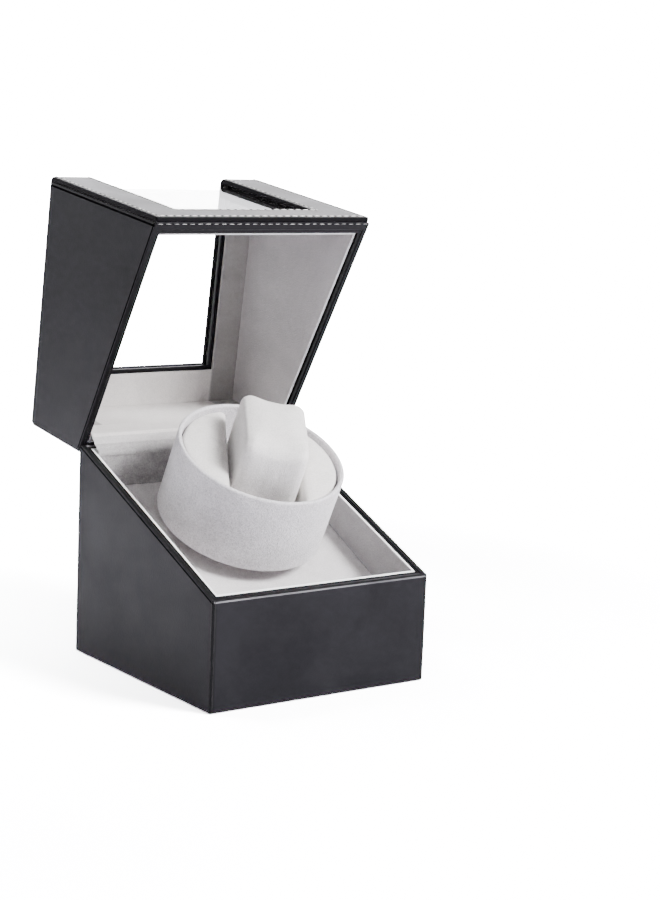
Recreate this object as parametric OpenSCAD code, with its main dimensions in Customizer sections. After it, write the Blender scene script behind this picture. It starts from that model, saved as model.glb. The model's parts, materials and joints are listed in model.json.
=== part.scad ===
// Watch winder box: a leather covered case with a sloping rim, a hinged lid with a bent clear window,
// and a motor driven velvet drum that holds a watch cushion.
// Units are millimetres. X runs to the right, Y to the back, Z up, with the origin on the resting face.
// The lid is drawn open and the drum is drawn part turned.

/* [Case] */
// Outside width of the case
body_w = 135; // [120:1:180]
// Outside depth of the case, front to back
body_d = 138; // [130:1:190]
// Height of the base at its front
front_h = 57.8; // [52:0.1:75]
// Height of the closed lid above the table
lid_top_h = 170; // [168:1:210]
// Slope of the rim between base and lid, in degrees
rim_slope = 22.8; // [18:0.1:27]
// Gap between the two rims when the lid is shut
rim_gap = 0.8; // [0.5:0.1:2]
// Radius of the upright leather corners
corner_r = 1.2; // [1:0.1:4]
// Thickness of the carcass boards
board_t = 4; // [3:0.1:6]
// Thickness of the lid's front board
lid_front_t = 5.6; // [3.5:0.1:8]
// Thickness of the leather covering
leather_t = 0.8; // [0.5:0.1:1.5]
// Thickness of the velvet lined cards
lining_t = 1.2; // [0.8:0.1:2]
// Thickness of the padded linings on the two back walls
back_pad = 5.2; // [3:0.1:7]
// How far the base linings stop short of the base rim
lining_set = 0.6; // [0.3:0.1:2]
// How far the lid linings stay inside the lid rim
lid_set = 2.4; // [0.3:0.1:3]

/* [Bottom] */
// Thickness of the felt under the case
felt_t = 1; // [0.6:0.1:2]
// Set back of the felt from the case edge
felt_inset = 2.2; // [1.5:0.1:6]
// Height of the leather edge above the table
sole_gap = 0.5; // [0.3:0.1:0.6]
// Thickness of the screwed bottom board
bottom_t = 3.6; // [3:0.1:6]
// Side of the square corner blocks
block_w = 11; // [9:0.5:16]
// Height of the corner blocks
block_h = 12; // [10:0.5:16]
// Diameter of the wood screw shanks
screw_d = 3; // [2.5:0.1:3.5]
// Length of the bottom wood screws
screw_len = 11; // [8:0.5:14]

/* [Lid and window] */
// Angle the open lid has turned from shut, in degrees
open_angle = 82.5; // [60:0.5:88]
// Width of the window
window_w = 86; // [60:1:100]
// Height of the leather strip below the window
front_strip = 22; // [20:0.5:55]
// Depth of the leather strip behind the window
top_strip = 31.2; // [15:0.1:60]
// Thickness of the bent clear pane
pane_t = 2; // [1.5:0.1:3]
// How far the pane runs under the leather frame
pane_lap = 4; // [2:0.5:8]
// How far the lid's linings stand back from the window
window_border = 2.2; // [1:0.1:5]
// Outside radius of the pane's bend
pane_bend = 3.4; // [3:0.1:6]
// Thickness of the stitched frame on the lid
trim_t = 3; // [1:0.1:4]
// Set back of the stitched frame from the lid's sides
trim_set = 0.7; // [0.3:0.1:3]
// Outside radius of the stitched frame's bend
trim_bend = 3.5; // [2.2:0.1:6]

/* [Hinges] */
// Depth of the hinge axis below the base rim
hinge_drop = 1.9; // [1.7:0.1:2.2]
// Radius of the hinge barrel
barrel_r = 1.9; // [1.5:0.05:1.95]
// Diameter of the hinge pin
hinge_pin_d = 1.6; // [1:0.1:2]
// Length of one hinge
hinge_len = 24; // [15:1:40]
// Distance of each hinge from the middle
hinge_x = 36; // [22:1:44]
// Thickness of the hinge leaves
leaf_t = 0.9; // [0.6:0.1:1.2]
// Length of the hinge leaves below the axis
leaf_len = 13; // [10:0.5:18]
// Gap between the base's blunt back edge and the swinging lid
nose_gap = 0.45; // [0.45:0.05:0.9]
// Thickness of the velvet flap over the hinges
flap_t = 0.8; // [0.5:0.1:1]

/* [Deck] */
// Lean of the deck and the drum axis, in degrees
deck_tilt = 26.2; // [22:0.1:28]
// Where the drum axis meets the deck, behind the middle
deck_y = 15.7; // [10:0.1:18]
// Height of the deck where the drum axis meets it
deck_z = 70.9; // [69:0.1:74]
// Thickness of the deck board
deck_t = 4.5; // [3.5:0.1:6]
// Width of the battens under the deck
cleat_w = 7; // [5:0.5:10]
// Height of the battens under the deck
cleat_h = 8; // [6:0.5:12]

/* [Drum] */
// Outside radius of the drum
drum_r = 46; // [42:0.2:48]
// Height of the drum
drum_h = 44.8; // [44:0.1:52]
// Gap between the drum and the deck
drum_gap = 8.4; // [6:0.2:10]
// Thickness of the drum wall
drum_wall = 2.8; // [2:0.1:4]
// Thickness of the drum floor
drum_floor = 2.5; // [2:0.1:4]
// Turn of the cushion slot, in degrees
slot_turn = 27.5; // [0:0.5:359]
// Width of the cushion slot
slot_w = 39; // [36:0.5:44]
// How far the cushion slot lies to the right of the drum's middle
slot_shift = 2.6; // [0:0.1:4]
// Depth of the cushion slot below the drum rim
slot_deep = 21.5; // [18:0.5:26]
// Depth of the side pads below the drum rim
pad_drop = 1.5; // [1:0.1:6]
// Corner radius of the side pads
pad_corner = 4; // [2:0.5:7]
// Rounding of the side pads' top edge
pad_round = 3; // [1:0.5:5]
// Thickness of the slot floor
seat_t = 2; // [1.5:0.1:4]

/* [Cushion] */
// Length of the cushion along the slot
cushion_l = 57; // [50:0.5:62]
// Height of the cushion
cushion_h = 43; // [34:0.5:44]
// Width of the cushion across the slot
cushion_w = 38; // [32:0.5:38.4]
// How far the cushion's waist is drawn in
cushion_waist = 1.2; // [0:0.1:3]

/* [Drive] */
// Gear module
gear_m = 0.6; // [0.5:0.05:0.65]
// Teeth on each large gear
big_teeth = 48; // [40:2:52]
// Teeth on each pinion
small_teeth = 12; // [12:2:14]
// Profile shift of the pinions
gear_shift = 0.35; // [0.3:0.05:0.45]
// Thinning of each tooth for backlash
gear_slack = 0.14; // [0.08:0.02:0.2]
// Face width of the gears
gear_face = 4; // [3:0.5:5]
// Diameter of the drum spindle
spindle_d = 6; // [5:0.5:6.5]
// Diameter of the idler post
post_d = 3; // [2:0.5:3]
// Radial clearance of turning shafts
run_fit = 0.06; // [0.02:0.01:0.1]
// Thickness of the gear plates
plate_t = 2; // [1.5:0.1:3]
// Diameter of the motor can
motor_d = 24; // [20:0.5:26]
// Length of the motor can
motor_len = 26; // [20:0.5:28]
// Diameter of the motor shaft
motor_shaft_d = 2; // [1.5:0.1:2.5]

/* [Rear controls] */
// Width of the rear control plate
plate_w = 58; // [54:1:70]
// Height of the rear control plate
plate_h = 24; // [22:1:30]
// Thickness of the rear control plate
rear_t = 1.6; // [1.2:0.1:3]
// Height of the control centre line above the table
control_z = 30; // [28:1:36]
// Distance of the knob and the jack from the middle
control_x = 14; // [12:0.5:16]
// Diameter of the mode knob
knob_d = 14; // [11:0.5:18]
// Length of the mode knob
knob_len = 9; // [7:0.5:14]
// Diameter of the switch shaft
switch_shaft_d = 4; // [3:0.5:5]
// Bore of the power jack
jack_bore = 6.3; // [5.5:0.1:6.5]
// Diameter of the jack's centre pin
jack_pin_d = 2.1; // [1.6:0.1:2.5]
// Outside diameter of the jack's nose
jack_nose_d = 8.4; // [7.6:0.1:10]
// Distance of the control board from the back board
board_off = 11; // [10:0.5:13]
// Diameter of one insulated lead
lead_d = 1.5; // [1:0.1:2]

/* [Hidden] */
$fn = 64;
eps = 0.01;
far = 400;
fit = 0.1;
air = 0.3;
over = 1;
hw = body_w / 2;
yf = -body_d / 2;
yb = body_d / 2;
rim_tan = tan(rim_slope);
rim_sec = 1 / cos(rim_slope);
wall = leather_t + board_t;
lined = wall + lining_t;
back_in = wall + back_pad;
lid_front = leather_t + lid_front_t;
lid_under = lid_top_h - wall;
hinge_y = yb - leather_t - board_t / 2;
hinge_z = rim_z(hinge_y) - hinge_drop;
nose_r = (hinge_drop + rim_gap) / rim_sec - nose_gap;
nose_high = 90 + rim_slope - open_angle / 2;
nose_deep = 90 + rim_slope - open_angle;
pad_y = yb - back_in;
flap_in = pad_y - flap_t / 2 - air - hinge_y;
flap_low = rim_z(pad_y) - lining_set * rim_sec - hinge_z;
flap_high = rim_z(pad_y, rim_gap) + lid_set * rim_sec - hinge_z;
flap_down = 1.2;
flap_over = 0.9;
flap_back = 14;
flap_sag = 0.8;
crease = 0.2;
leaf_gap = 0.3;
leaf_lap = 0.4;
leaf_root = 0.6;
knuckle_gap = 0.25;
knuckle = (hinge_len - 2 * leaf_gap) / 3;
win_z = rim_z(yf, rim_gap) + front_strip;
win_y = yb - top_strip;
floor_z = felt_t + bottom_t;
rim_w = drum_gap + drum_h;
pad_top = rim_w - pad_drop;
seat_w = rim_w - slot_deep;
gear_dist = gear_m * (big_teeth + small_teeth) / 2;
plate_w0 = -deck_t - plate_t;
gear_gap = 2;
stage_gap = 1;
gear1_w = plate_w0 - gear_gap - gear_face;
gear2_w = gear1_w - stage_gap - gear_face;
lower_w = gear2_w - gear_gap - plate_t;
pillar_d = 7;
pillar_gap = 5;
pillar_set = 2;
pillar_v = gear_m * big_teeth / 2 + pillar_gap;
pillar_in = -gear_m * big_teeth / 2 + pillar_set;
pillar_out = 2 * gear_dist + motor_d / 2 - pillar_set / 2;
plate_margin = 4;
deck_skin = 1;
flange_d = 17;
flange_sink = 1.5;
flange_top = 0.4;
bush_wall = 2;
bush_d = spindle_d + 2 * bush_wall;
bush_out = 1;
spindle_end = 0.4;
motor_screw_d = 2;
motor_screw_in = 3.6;
motor_head_t = 1;
motor_boss_h = 2;
shaft_in = 5;
hub_d = 40;
hub_boss_d = 16;
hub_gap = 1.6;
hub_flange_t = 2.4;
hub_screw_r = 15;
hub_screw_d = 2.6;
hub_head_t = 1.4;
pad_crown = 0.6;
pad_flat = 0.25;
board_y = yb - wall - board_off;
pcb_t = 1.6;
pcb_set = 1;
pcb_w = plate_w - 2 * pcb_set;
pcb_h = plate_h + 2 * pcb_set;
rear_screw_set = 4;
rear_screw_x = plate_w / 2 - rear_screw_set;
rear_screw_d = 2.2;
rear_head_t = 1.3;
driver_slot = 0.6;
spacer_wall = 1.8;
spacer_floor = 1;
knob_gap = 0.6;
switch_d = 15;
switch_len = 6.5;
switch_floor = 2;
switch_neck = 1.5;
switch_clear = 2;
knob_skirt = 1;
knob_skirt_h = 2;
knob_cap = 2;
pointer_w = 1.2;
pointer_deep = 0.8;
flute_d = 2.4;
flute_off = 0.7;
jack_len = 13;
jack_w = 10;
jack_root = 1;
jack_pin_set = 1.5;
tag_len = 4;
tag_w = 2.4;
tag_t = 0.6;
lead_x = 1.5 * lead_d;
lead_edge = 4;
lead_z = control_z - pcb_h / 2 + lead_edge;
lead_drop = 5;
jack_floor = board_off + wall + rear_t - jack_len;

function rim_z(y, g = 0) = front_h + g + rim_tan * (y - yf);

// Corners of the base's blunt back edge, drawn in by o, which stay inside the sweep of the lid's rim
function nose_top(o) =
  let (
    drop = hinge_drop - o * rim_sec,
    y = (nose_r - o - drop * sin(nose_high)) / (cos(nose_high) + rim_tan * sin(nose_high))
  )
  [hinge_y + y, hinge_z + drop + rim_tan * y];

function nose_mid(o) =
  let (
    r = (nose_r - o) / cos(open_angle / 4),
    a = (nose_high + nose_deep) / 2
  )
  [hinge_y + r * cos(a), hinge_z + r * sin(a)];

function nose_foot(o) =
  let (y = yb - o - hinge_y)
  [yb - o, hinge_z + (nose_r - o - y * cos(nose_deep)) / sin(nose_deep)];

// Shared shapes

module prism_x(w) {
  rotate([90, 0, 90])
    linear_extrude(w, center = true)
      children();
}

module block(x0, x1, y0, y1, z0, z1) {
  translate([x0, y0, z0])
    cube([x1 - x0, y1 - y0, z1 - z0]);
}

module round_rect(w, d, r) {
  square([w - 2 * r, d], center = true);
  square([w, d - 2 * r], center = true);
  for (sx = [-1, 1], sy = [-1, 1])
    translate([sx * (w / 2 - r), sy * (d / 2 - r)])
      circle(r);
}

module column(o) {
  translate([0, 0, -far / 2])
    linear_extrude(far)
      round_rect(body_w - 2 * o, body_d - 2 * o, corner_r - o);
}

module tilted() {
  translate([0, deck_y, deck_z])
    rotate([deck_tilt, 0, 0])
      children();
}

module turned() {
  tilted()
    rotate([0, 0, -slot_turn])
      children();
}

module lid_open() {
  translate([0, hinge_y, hinge_z])
    rotate([-open_angle, 0, 0])
      translate([0, -hinge_y, -hinge_z])
        children();
}

module disc(d, w0, w1) {
  translate([0, 0, w0])
    cylinder(d = d, h = w1 - w0);
}

// Leather and boards of the base

module base_profile(o = 0) {
  polygon([
    [yf + o, sole_gap + o],
    [yb - o, sole_gap + o],
    nose_foot(o),
    nose_mid(o),
    nose_top(o),
    [yf + o, rim_z(yf + o) - o * rim_sec]
  ]);
}

module base_solid(o) {
  intersection() {
    prism_x(body_w - 2 * o)
      base_profile(o);
    column(o);
  }
}

module base_hollow() {
  block(-hw + wall, hw - wall, yf + wall, yb - wall, -far / 2, far);
}

module leaf_slots(z0, z1) {
  for (s = [-1, 1])
    block(s * hinge_x - hinge_len / 2 - fit, s * hinge_x + hinge_len / 2 + fit,
      hinge_y - leaf_t / 2 - fit, hinge_y + leaf_t / 2 + fit, z0, z1);
}

module barrel_pockets() {
  r = barrel_r + air;
  long = hinge_len + 2 * air;
  leaf_low = leaf_t / 2 + air;
  for (s = [-1, 1])
    translate([s * hinge_x - long / 2, hinge_y, hinge_z]) {
      rotate([0, 90, 0])
        cylinder(r = r, h = long);
      translate([0, -r, 0])
        cube([long, 2 * r, far]);
      translate([0, 0, -leaf_low])
        cube([long, far, far]);
    }
}

module rear_hole(x, d) {
  translate([x, yb + eps, control_z])
    rotate([90, 0, 0])
      cylinder(d = d, h = wall + 2 * eps);
}

module rear_holes() {
  rear_hole(-control_x, switch_shaft_d + 2 * switch_clear);
  rear_hole(control_x, jack_nose_d + 2 * fit);
  for (s = [-1, 1])
    rear_hole(s * rear_screw_x, rear_screw_d + 2 * fit);
}

module base_boards() {
  difference() {
    base_solid(leather_t);
    base_hollow();
    leaf_slots(hinge_z - leaf_len - fit, hinge_z);
    barrel_pockets();
    rear_holes();
  }
}

module base_leather() {
  color("#46464b")
    difference() {
      base_solid(0);
      base_solid(leather_t);
      base_hollow();
      leaf_slots(hinge_z - leaf_len - fit, hinge_z);
      barrel_pockets();
      rear_holes();
    }
}

module base_left_board() {
  color("#8a6f52")
    intersection() {
      base_boards();
      block(-hw, -hw + wall, yf, yb, 0, far);
    }
}

module base_right_board() {
  color("#8a6f52")
    intersection() {
      base_boards();
      block(hw - wall, hw, yf, yb, 0, far);
    }
}

module base_front_board() {
  color("#8a6f52")
    intersection() {
      base_boards();
      block(-hw + wall, hw - wall, yf, yf + wall, 0, far);
    }
}

module base_back_board() {
  color("#8a6f52")
    intersection() {
      base_boards();
      block(-hw + wall, hw - wall, yb - wall, yb, 0, far);
    }
}

// Bottom of the base

module block_spots() {
  for (sx = [-1, 1], sy = [-1, 1])
    translate([sx * (hw - wall - block_w / 2), sy * (yb - wall - block_w / 2), 0])
      children();
}

module base_blocks() {
  color("#9a7c5c")
    block_spots()
      difference() {
        translate([-block_w / 2, -block_w / 2, floor_z])
          cube([block_w, block_w, block_h]);
        disc(screw_d + 2 * fit, floor_z - eps, felt_t + screw_len + air);
      }
}

module bottom_board() {
  color("#8a6f52")
    difference() {
      block(-hw + wall + air, hw - wall - air, yf + wall + air, yb - wall - air, felt_t, floor_z);
      block_spots() {
        disc(screw_d + 2 * fit, felt_t - eps, floor_z + eps);
        disc(2 * screw_d + 2 * fit, felt_t - eps, felt_t + screw_d / 2);
      }
    }
}

module bottom_screws() {
  color("#b9b9bd")
    block_spots() {
      disc(screw_d, felt_t + screw_d / 4, felt_t + screw_len);
      difference() {
        disc(2 * screw_d, felt_t + air / 2, felt_t + screw_d / 2 - eps);
        translate([-screw_d, -screw_d / 8, felt_t])
          cube([2 * screw_d, screw_d / 4, screw_d / 4]);
      }
    }
}

module bottom_felt() {
  color("#2a2a2c")
    difference() {
      linear_extrude(felt_t)
        round_rect(body_w - 2 * felt_inset, body_d - 2 * felt_inset, corner_r);
      translate([0, 0, sole_gap])
        difference() {
          block(-hw, hw, yf, yb, 0, felt_t);
          base_hollow();
        }
      block_spots()
        disc(2 * screw_d + 2 * over, -eps, felt_t + eps);
    }
}

// Linings of the base, down to the deck

module above_deck() {
  tilted()
    block(-far / 2, far / 2, -far / 2, far / 2, air, far / 2);
}

module below_rim(g) {
  prism_x(body_w)
    polygon([
      [yf, 0],
      [yb, 0],
      [yb, rim_z(yb) - g * rim_sec],
      [yf, front_h - g * rim_sec]
    ]);
}

module base_lining(x0, x1, y0, y1) {
  color("#d2cfcc")
    intersection() {
      block(x0, x1, y0, y1, 0, far);
      above_deck();
      below_rim(lining_set);
    }
}

module lining_base_left() {
  base_lining(-hw + wall, -hw + lined, yf + lined, pad_y);
}

module lining_base_right() {
  base_lining(hw - lined, hw - wall, yf + lined, pad_y);
}

module lining_base_front() {
  base_lining(-hw + wall, hw - wall, yf + wall, yf + lined);
}

module lining_base_back() {
  difference() {
    base_lining(-hw + wall, hw - wall, pad_y, yb - wall);
    barrel_pockets();
  }
}

// Deck and its battens

module deck() {
  color("#cbc8c8")
    difference() {
      intersection() {
        tilted()
          block(-hw, hw, -far / 2, far / 2, -deck_t, 0);
        block(-hw + wall + air, hw - wall - air, yf + wall + air, yb - wall - air, 0, far);
      }
      tilted() {
        disc(bush_d + 2 * fit, -far / 4, far / 4);
        disc(flange_d + 2 * fit, -flange_sink - fit, far / 4);
        plate_screw_spots()
          disc(screw_d + 2 * fit, -deck_t - eps, -deck_skin);
      }
    }
}

module deck_cleats() {
  color("#9a7c5c")
    for (s = [-1, 1])
      difference() {
        intersection() {
          tilted()
            block(-hw, hw, -far / 2, far / 2, -deck_t - cleat_h, -deck_t);
          block(s * (hw - wall - cleat_w / 2) - cleat_w / 2, s * (hw - wall - cleat_w / 2) + cleat_w / 2,
            yf + wall + block_w, yb - wall - block_w, floor_z + block_h, far);
        }
        tilted()
          plate_blank(lower_w - air, -deck_t + eps, air);
      }
}

// Gear train below the deck

function inv(a) = tan(a) * 180 / PI - a;
function flank(r, rb, rp, s) = s / (2 * rp) * 180 / PI + inv(20) - inv(acos(min(1, rb / r)));

module gear_2d(n, x) {
  rp = gear_m * n / 2;
  rb = rp * cos(20);
  ra = rp + gear_m * (1 + x);
  rr = rp - gear_m * (1.25 - x);
  s = gear_m * (PI / 2 + 2 * x * tan(20)) - gear_slack;
  r0 = max(rr, rb);
  steps = 4;
  side = [for (i = [0:steps]) r0 + (ra - r0) * i / steps];
  base_a = flank(r0, rb, rp, s);
  polygon([
    for (t = [0:n - 1])
      let (c = 360 * t / n)
        each concat(
          [[rr * cos(c - base_a), rr * sin(c - base_a)]],
          [for (r = side) [r * cos(c - flank(r, rb, rp, s)), r * sin(c - flank(r, rb, rp, s))]],
          [for (i = [steps:-1:0])
            [side[i] * cos(c + flank(side[i], rb, rp, s)), side[i] * sin(c + flank(side[i], rb, rp, s))]],
          [[rr * cos(c + base_a), rr * sin(c + base_a)]]
        )
  ]);
}

module gear(n, x, bore, w0, w1) {
  difference() {
    translate([0, 0, w0])
      linear_extrude(w1 - w0)
        gear_2d(n, x);
    disc(bore, w0 - eps, w1 + eps);
  }
}

module plate_screw_spots() {
  for (x = [pillar_in, pillar_out], v = [-pillar_v, pillar_v])
    translate([x, v, 0])
      children();
}

module plate_blank(w0, w1, grow = 0) {
  edge = plate_margin + grow;
  block(pillar_in - edge, pillar_out + edge, -pillar_v - edge, pillar_v + edge, w0, w1);
}

module upper_plate() {
  color("#a8abb0")
    tilted()
      difference() {
        plate_blank(plate_w0, -deck_t);
        disc(bush_d + 2 * fit, -far / 4, far / 4);
        translate([gear_dist, 0, 0])
          disc(post_d, -far / 4, far / 4);
        plate_screw_spots()
          disc(screw_d + 2 * fit, -far / 4, far / 4);
      }
}

module lower_plate() {
  color("#a8abb0")
    tilted()
      difference() {
        plate_blank(lower_w, lower_w + plate_t);
        translate([gear_dist, 0, 0])
          disc(post_d, -far / 4, far / 4);
        translate([2 * gear_dist, 0, 0]) {
          disc(motor_d / 3 + 2 * fit, -far / 4, far / 4);
          for (s = [-1, 1])
            translate([0, s * motor_d / 3, 0])
              disc(motor_screw_d + 2 * air, -far / 4, far / 4);
        }
        plate_screw_spots()
          disc(screw_d + 2 * fit, -far / 4, far / 4);
      }
}

module plate_pillars() {
  color("#c9b37a")
    tilted()
      plate_screw_spots()
        difference() {
          disc(pillar_d, lower_w + plate_t, plate_w0);
          disc(screw_d + 2 * fit, -far / 4, far / 4);
        }
}

module plate_screws() {
  color("#b9b9bd")
    tilted()
      plate_screw_spots() {
        disc(screw_d, lower_w - eps, -deck_skin - 2 * air);
        difference() {
          disc(2 * screw_d, lower_w - screw_d / 2, lower_w);
          translate([-screw_d, -screw_d / 8, lower_w - screw_d / 2 - eps])
            cube([2 * screw_d, screw_d / 4, screw_d / 4]);
        }
      }
}

module idler_post() {
  color("#c4c6ca")
    tilted()
      translate([gear_dist, 0, 0])
        disc(post_d, lower_w, -deck_t - air);
}

module idler_gear() {
  color("#e8e4da")
    tilted()
      translate([gear_dist, 0, 0]) {
        rotate([0, 0, 180 / small_teeth])
          gear(small_teeth, gear_shift, post_d + 2 * run_fit,
            gear2_w + gear_face - eps, gear1_w + gear_face);
        gear(big_teeth, -gear_shift, post_d + 2 * run_fit, gear2_w, gear2_w + gear_face);
      }
}

module motor_pinion() {
  color("#c9a227")
    tilted()
      translate([2 * gear_dist, 0, 0]) {
        rotate([0, 0, 180 / small_teeth])
          translate([0, 0, gear2_w])
            linear_extrude(gear_face)
              gear_2d(small_teeth, gear_shift);
        disc(motor_shaft_d, lower_w - shaft_in, gear2_w + eps);
      }
}

module motor() {
  color("#b4b7bc")
    tilted()
      translate([2 * gear_dist, 0, 0])
        difference() {
          union() {
            disc(motor_d, lower_w - motor_len, lower_w);
            disc(motor_d / 3, lower_w - eps, lower_w + plate_t - air);
            disc(motor_d / 3, lower_w - motor_len - motor_boss_h, lower_w - motor_len + eps);
            for (s = [-1, 1])
              translate([s * motor_d / 4 - tag_w / 2, -tag_t / 2, lower_w - motor_len - tag_len])
                cube([tag_w, tag_t, tag_len + eps]);
          }
          disc(motor_shaft_d + 2 * run_fit, lower_w - shaft_in - air, far / 4);
          for (s = [-1, 1])
            translate([0, s * motor_d / 3, 0])
              disc(motor_screw_d + 2 * fit, lower_w - motor_screw_in - air, far / 4);
        }
}

module motor_screws() {
  color("#b9b9bd")
    tilted()
      translate([2 * gear_dist, 0, 0])
        for (s = [-1, 1])
          translate([0, s * motor_d / 3, 0]) {
            disc(motor_screw_d, lower_w - motor_screw_in, lower_w + plate_t + eps);
            disc(2 * motor_screw_d, lower_w + plate_t, lower_w + plate_t + motor_head_t);
          }
}

module output_gear() {
  color("#e8e4da")
    tilted()
      gear(big_teeth, -gear_shift, spindle_d, gear1_w, gear1_w + gear_face);
}

module spindle() {
  color("#c4c6ca")
    tilted()
      disc(spindle_d, gear1_w - spindle_end, drum_gap + drum_floor);
}

module spindle_bush() {
  color("#b58a3a")
    tilted()
      difference() {
        union() {
          disc(bush_d, plate_w0 - bush_out, -eps);
          disc(flange_d, -flange_sink, flange_top);
        }
        disc(spindle_d + 2 * run_fit, -far / 4, far / 4);
      }
}

// Drum

module drum_hub() {
  color("#3a3a3e")
    tilted()
      difference() {
        union() {
          disc(hub_d, drum_gap - hub_flange_t, drum_gap);
          disc(hub_boss_d, hub_gap, drum_gap - hub_flange_t + eps);
        }
        disc(spindle_d, -far / 4, far / 4);
        for (a = [45:90:315])
          rotate([0, 0, a - slot_turn])
            translate([hub_screw_r, 0, 0])
              disc(hub_screw_d, -far / 4, far / 4);
      }
}

module drum_shell() {
  lip = drum_wall / 2;
  color("#d4d2d6")
    tilted()
      difference() {
        rotate_extrude() {
          translate([0, drum_gap])
            square([drum_r - drum_wall, drum_floor]);
          translate([drum_r - drum_wall, drum_gap])
            difference() {
              square([drum_wall, drum_h - lip]);
              translate([lip, 0])
                difference() {
                  square(lip + eps);
                  translate([0, lip])
                    circle(lip);
                }
            }
          translate([drum_r - lip, rim_w - lip])
            circle(lip);
        }
        disc(spindle_d, -far / 4, far / 4);
        for (a = [45:90:315])
          rotate([0, 0, a - slot_turn])
            translate([hub_screw_r, 0, 0])
              disc(hub_screw_d, -far / 4, far / 4);
      }
}

module hub_screws() {
  color("#b9b9bd")
    tilted()
      for (a = [45:90:315])
        rotate([0, 0, a - slot_turn])
          translate([hub_screw_r, 0, 0]) {
            disc(hub_screw_d - 2 * fit, drum_gap - hub_flange_t, drum_gap + drum_floor + eps);
            disc(2 * hub_screw_d, drum_gap + drum_floor, drum_gap + drum_floor + hub_head_t);
          }
}

module slot_floor() {
  plug_r = drum_r - drum_wall - air;
  color("#c6c3c4")
    turned()
      intersection() {
        disc(2 * plug_r, seat_w - seat_t, seat_w);
        block(slot_shift - slot_w / 2, slot_shift + slot_w / 2, -far / 4, far / 4, 0, far);
      }
}

// Points of one pad's outline, drawn in by d, on the side of the drum that s names
function pad_ring(s, d, w) =
  let (
    c = slot_w / 2 + s * slot_shift + air + d,
    rr = drum_r - drum_wall - air - d,
    q = max(pad_corner - d, pad_crown),
    cx = c + q,
    cy = sqrt((rr - q) * (rr - q) - cx * cx),
    a = atan2(cy, cx)
  )
  concat(
    [for (i = [0:5]) [cx + q * cos(180 - (180 - a) * i / 5), cy + q * sin(180 - (180 - a) * i / 5), w]],
    [for (i = [1:17]) [rr * cos(a - 2 * a * i / 18), rr * sin(a - 2 * a * i / 18), w]],
    [for (i = [0:5]) [cx + q * cos(-a - (180 - a) * i / 5), -cy + q * sin(-a - (180 - a) * i / 5), w]],
    [for (i = [1:7]) [c, -cy + 2 * cy * i / 8, w]]
  );

// Solid through a stack of rings that all hold the same number of points
module loft(rings) {
  n = len(rings[0]);
  m = len(rings);
  points = [for (ring = rings) each ring];
  sides = [
    for (k = [0:m - 2], i = [0:n - 1])
      each [
        [k * n + i, (k + 1) * n + i, (k + 1) * n + (i + 1) % n],
        [k * n + i, (k + 1) * n + (i + 1) % n, k * n + (i + 1) % n]
      ]
  ];
  polyhedron(points, concat(
    sides,
    [[for (i = [0:n - 1]) i]],
    [[for (i = [n - 1:-1:0]) (m - 1) * n + i]]
  ));
}

module side_pad(s) {
  bottom_w = drum_gap + drum_floor + hub_head_t + air;
  side_w = pad_top - pad_crown;
  half = (drum_r - drum_wall - slot_w / 2 - s * slot_shift) / 2 - air;
  top_in = half * (1 - pad_flat);
  loft(concat(
    [pad_ring(s, 0, bottom_w), pad_ring(s, 0, side_w - pad_round)],
    [for (i = [1:4])
      pad_ring(s, pad_round * (1 - cos(90 * i / 4)), side_w - pad_round * (1 - sin(90 * i / 4)))],
    [
      pad_ring(s, (pad_round + top_in) / 2, pad_top - pad_crown / 4),
      pad_ring(s, top_in, pad_top)
    ]
  ));
}

module pad_right() {
  color("#dcdadb")
    turned()
      side_pad(1);
}

module pad_left() {
  color("#dcdadb")
    turned()
      rotate([0, 0, 180])
        side_pad(-1);
}

// Cushion: a crowned roll with drawn-in ends and a shallow waist

function power(c, e) = (c < 0 ? -1 : 1) * pow(abs(c), e);

function cushion_ring(t) =
  let (
    edge = pow(abs(t), 6),
    full = sqrt(max(0, 1 - edge * 0.72)),
    mid = cushion_waist * (1 - t * t) * (1 - t * t),
    a = (cushion_l / 2 - mid) * full,
    b = (cushion_h / 2 - mid) * (0.35 + 0.65 * full)
  )
  [for (i = [0:43])
    [
      cushion_w / 2 * t,
      a * power(cos(360 * i / 44), 0.72),
      seat_w + air + cushion_h / 2 + b * power(sin(360 * i / 44), 0.72)
    ]];

module watch_cushion() {
  stops = [-1, -0.96, -0.88, -0.75, -0.5, -0.2, 0.2, 0.5, 0.75, 0.88, 0.96, 1];
  color("#e0dedd")
    turned()
      translate([slot_shift, 0, 0])
        loft([for (i = [len(stops) - 1:-1:0]) cushion_ring(stops[i])]);
}

// Lid carcass, drawn shut and then turned open

module lid_profile(o = 0) {
  polygon([
    [yf + o, rim_z(yf + o, rim_gap) + o * rim_sec],
    [yb - o, rim_z(yb - o, rim_gap) + o * rim_sec],
    [yb - o, lid_top_h - o],
    [yf + o, lid_top_h - o]
  ]);
}

module lid_solid(o) {
  intersection() {
    prism_x(body_w - 2 * o)
      lid_profile(o);
    column(o);
  }
}

module lid_hollow() {
  block(-hw + wall, hw - wall, yf + lid_front, yb - wall, 0, lid_under);
}

module window_cut(o = 0) {
  block(-window_w / 2 - o, window_w / 2 + o, yf - trim_t - over, yf + lid_front + lining_t + over,
    win_z - o, lid_top_h + trim_t + over);
  block(-window_w / 2 - o, window_w / 2 + o, yf - trim_t - over, win_y + o,
    lid_under - lining_t - over, lid_top_h + trim_t + over);
}

module bent_corner(r) {
  difference() {
    square(2 * r, center = true);
    translate([r, -r])
      circle(r);
  }
}

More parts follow.
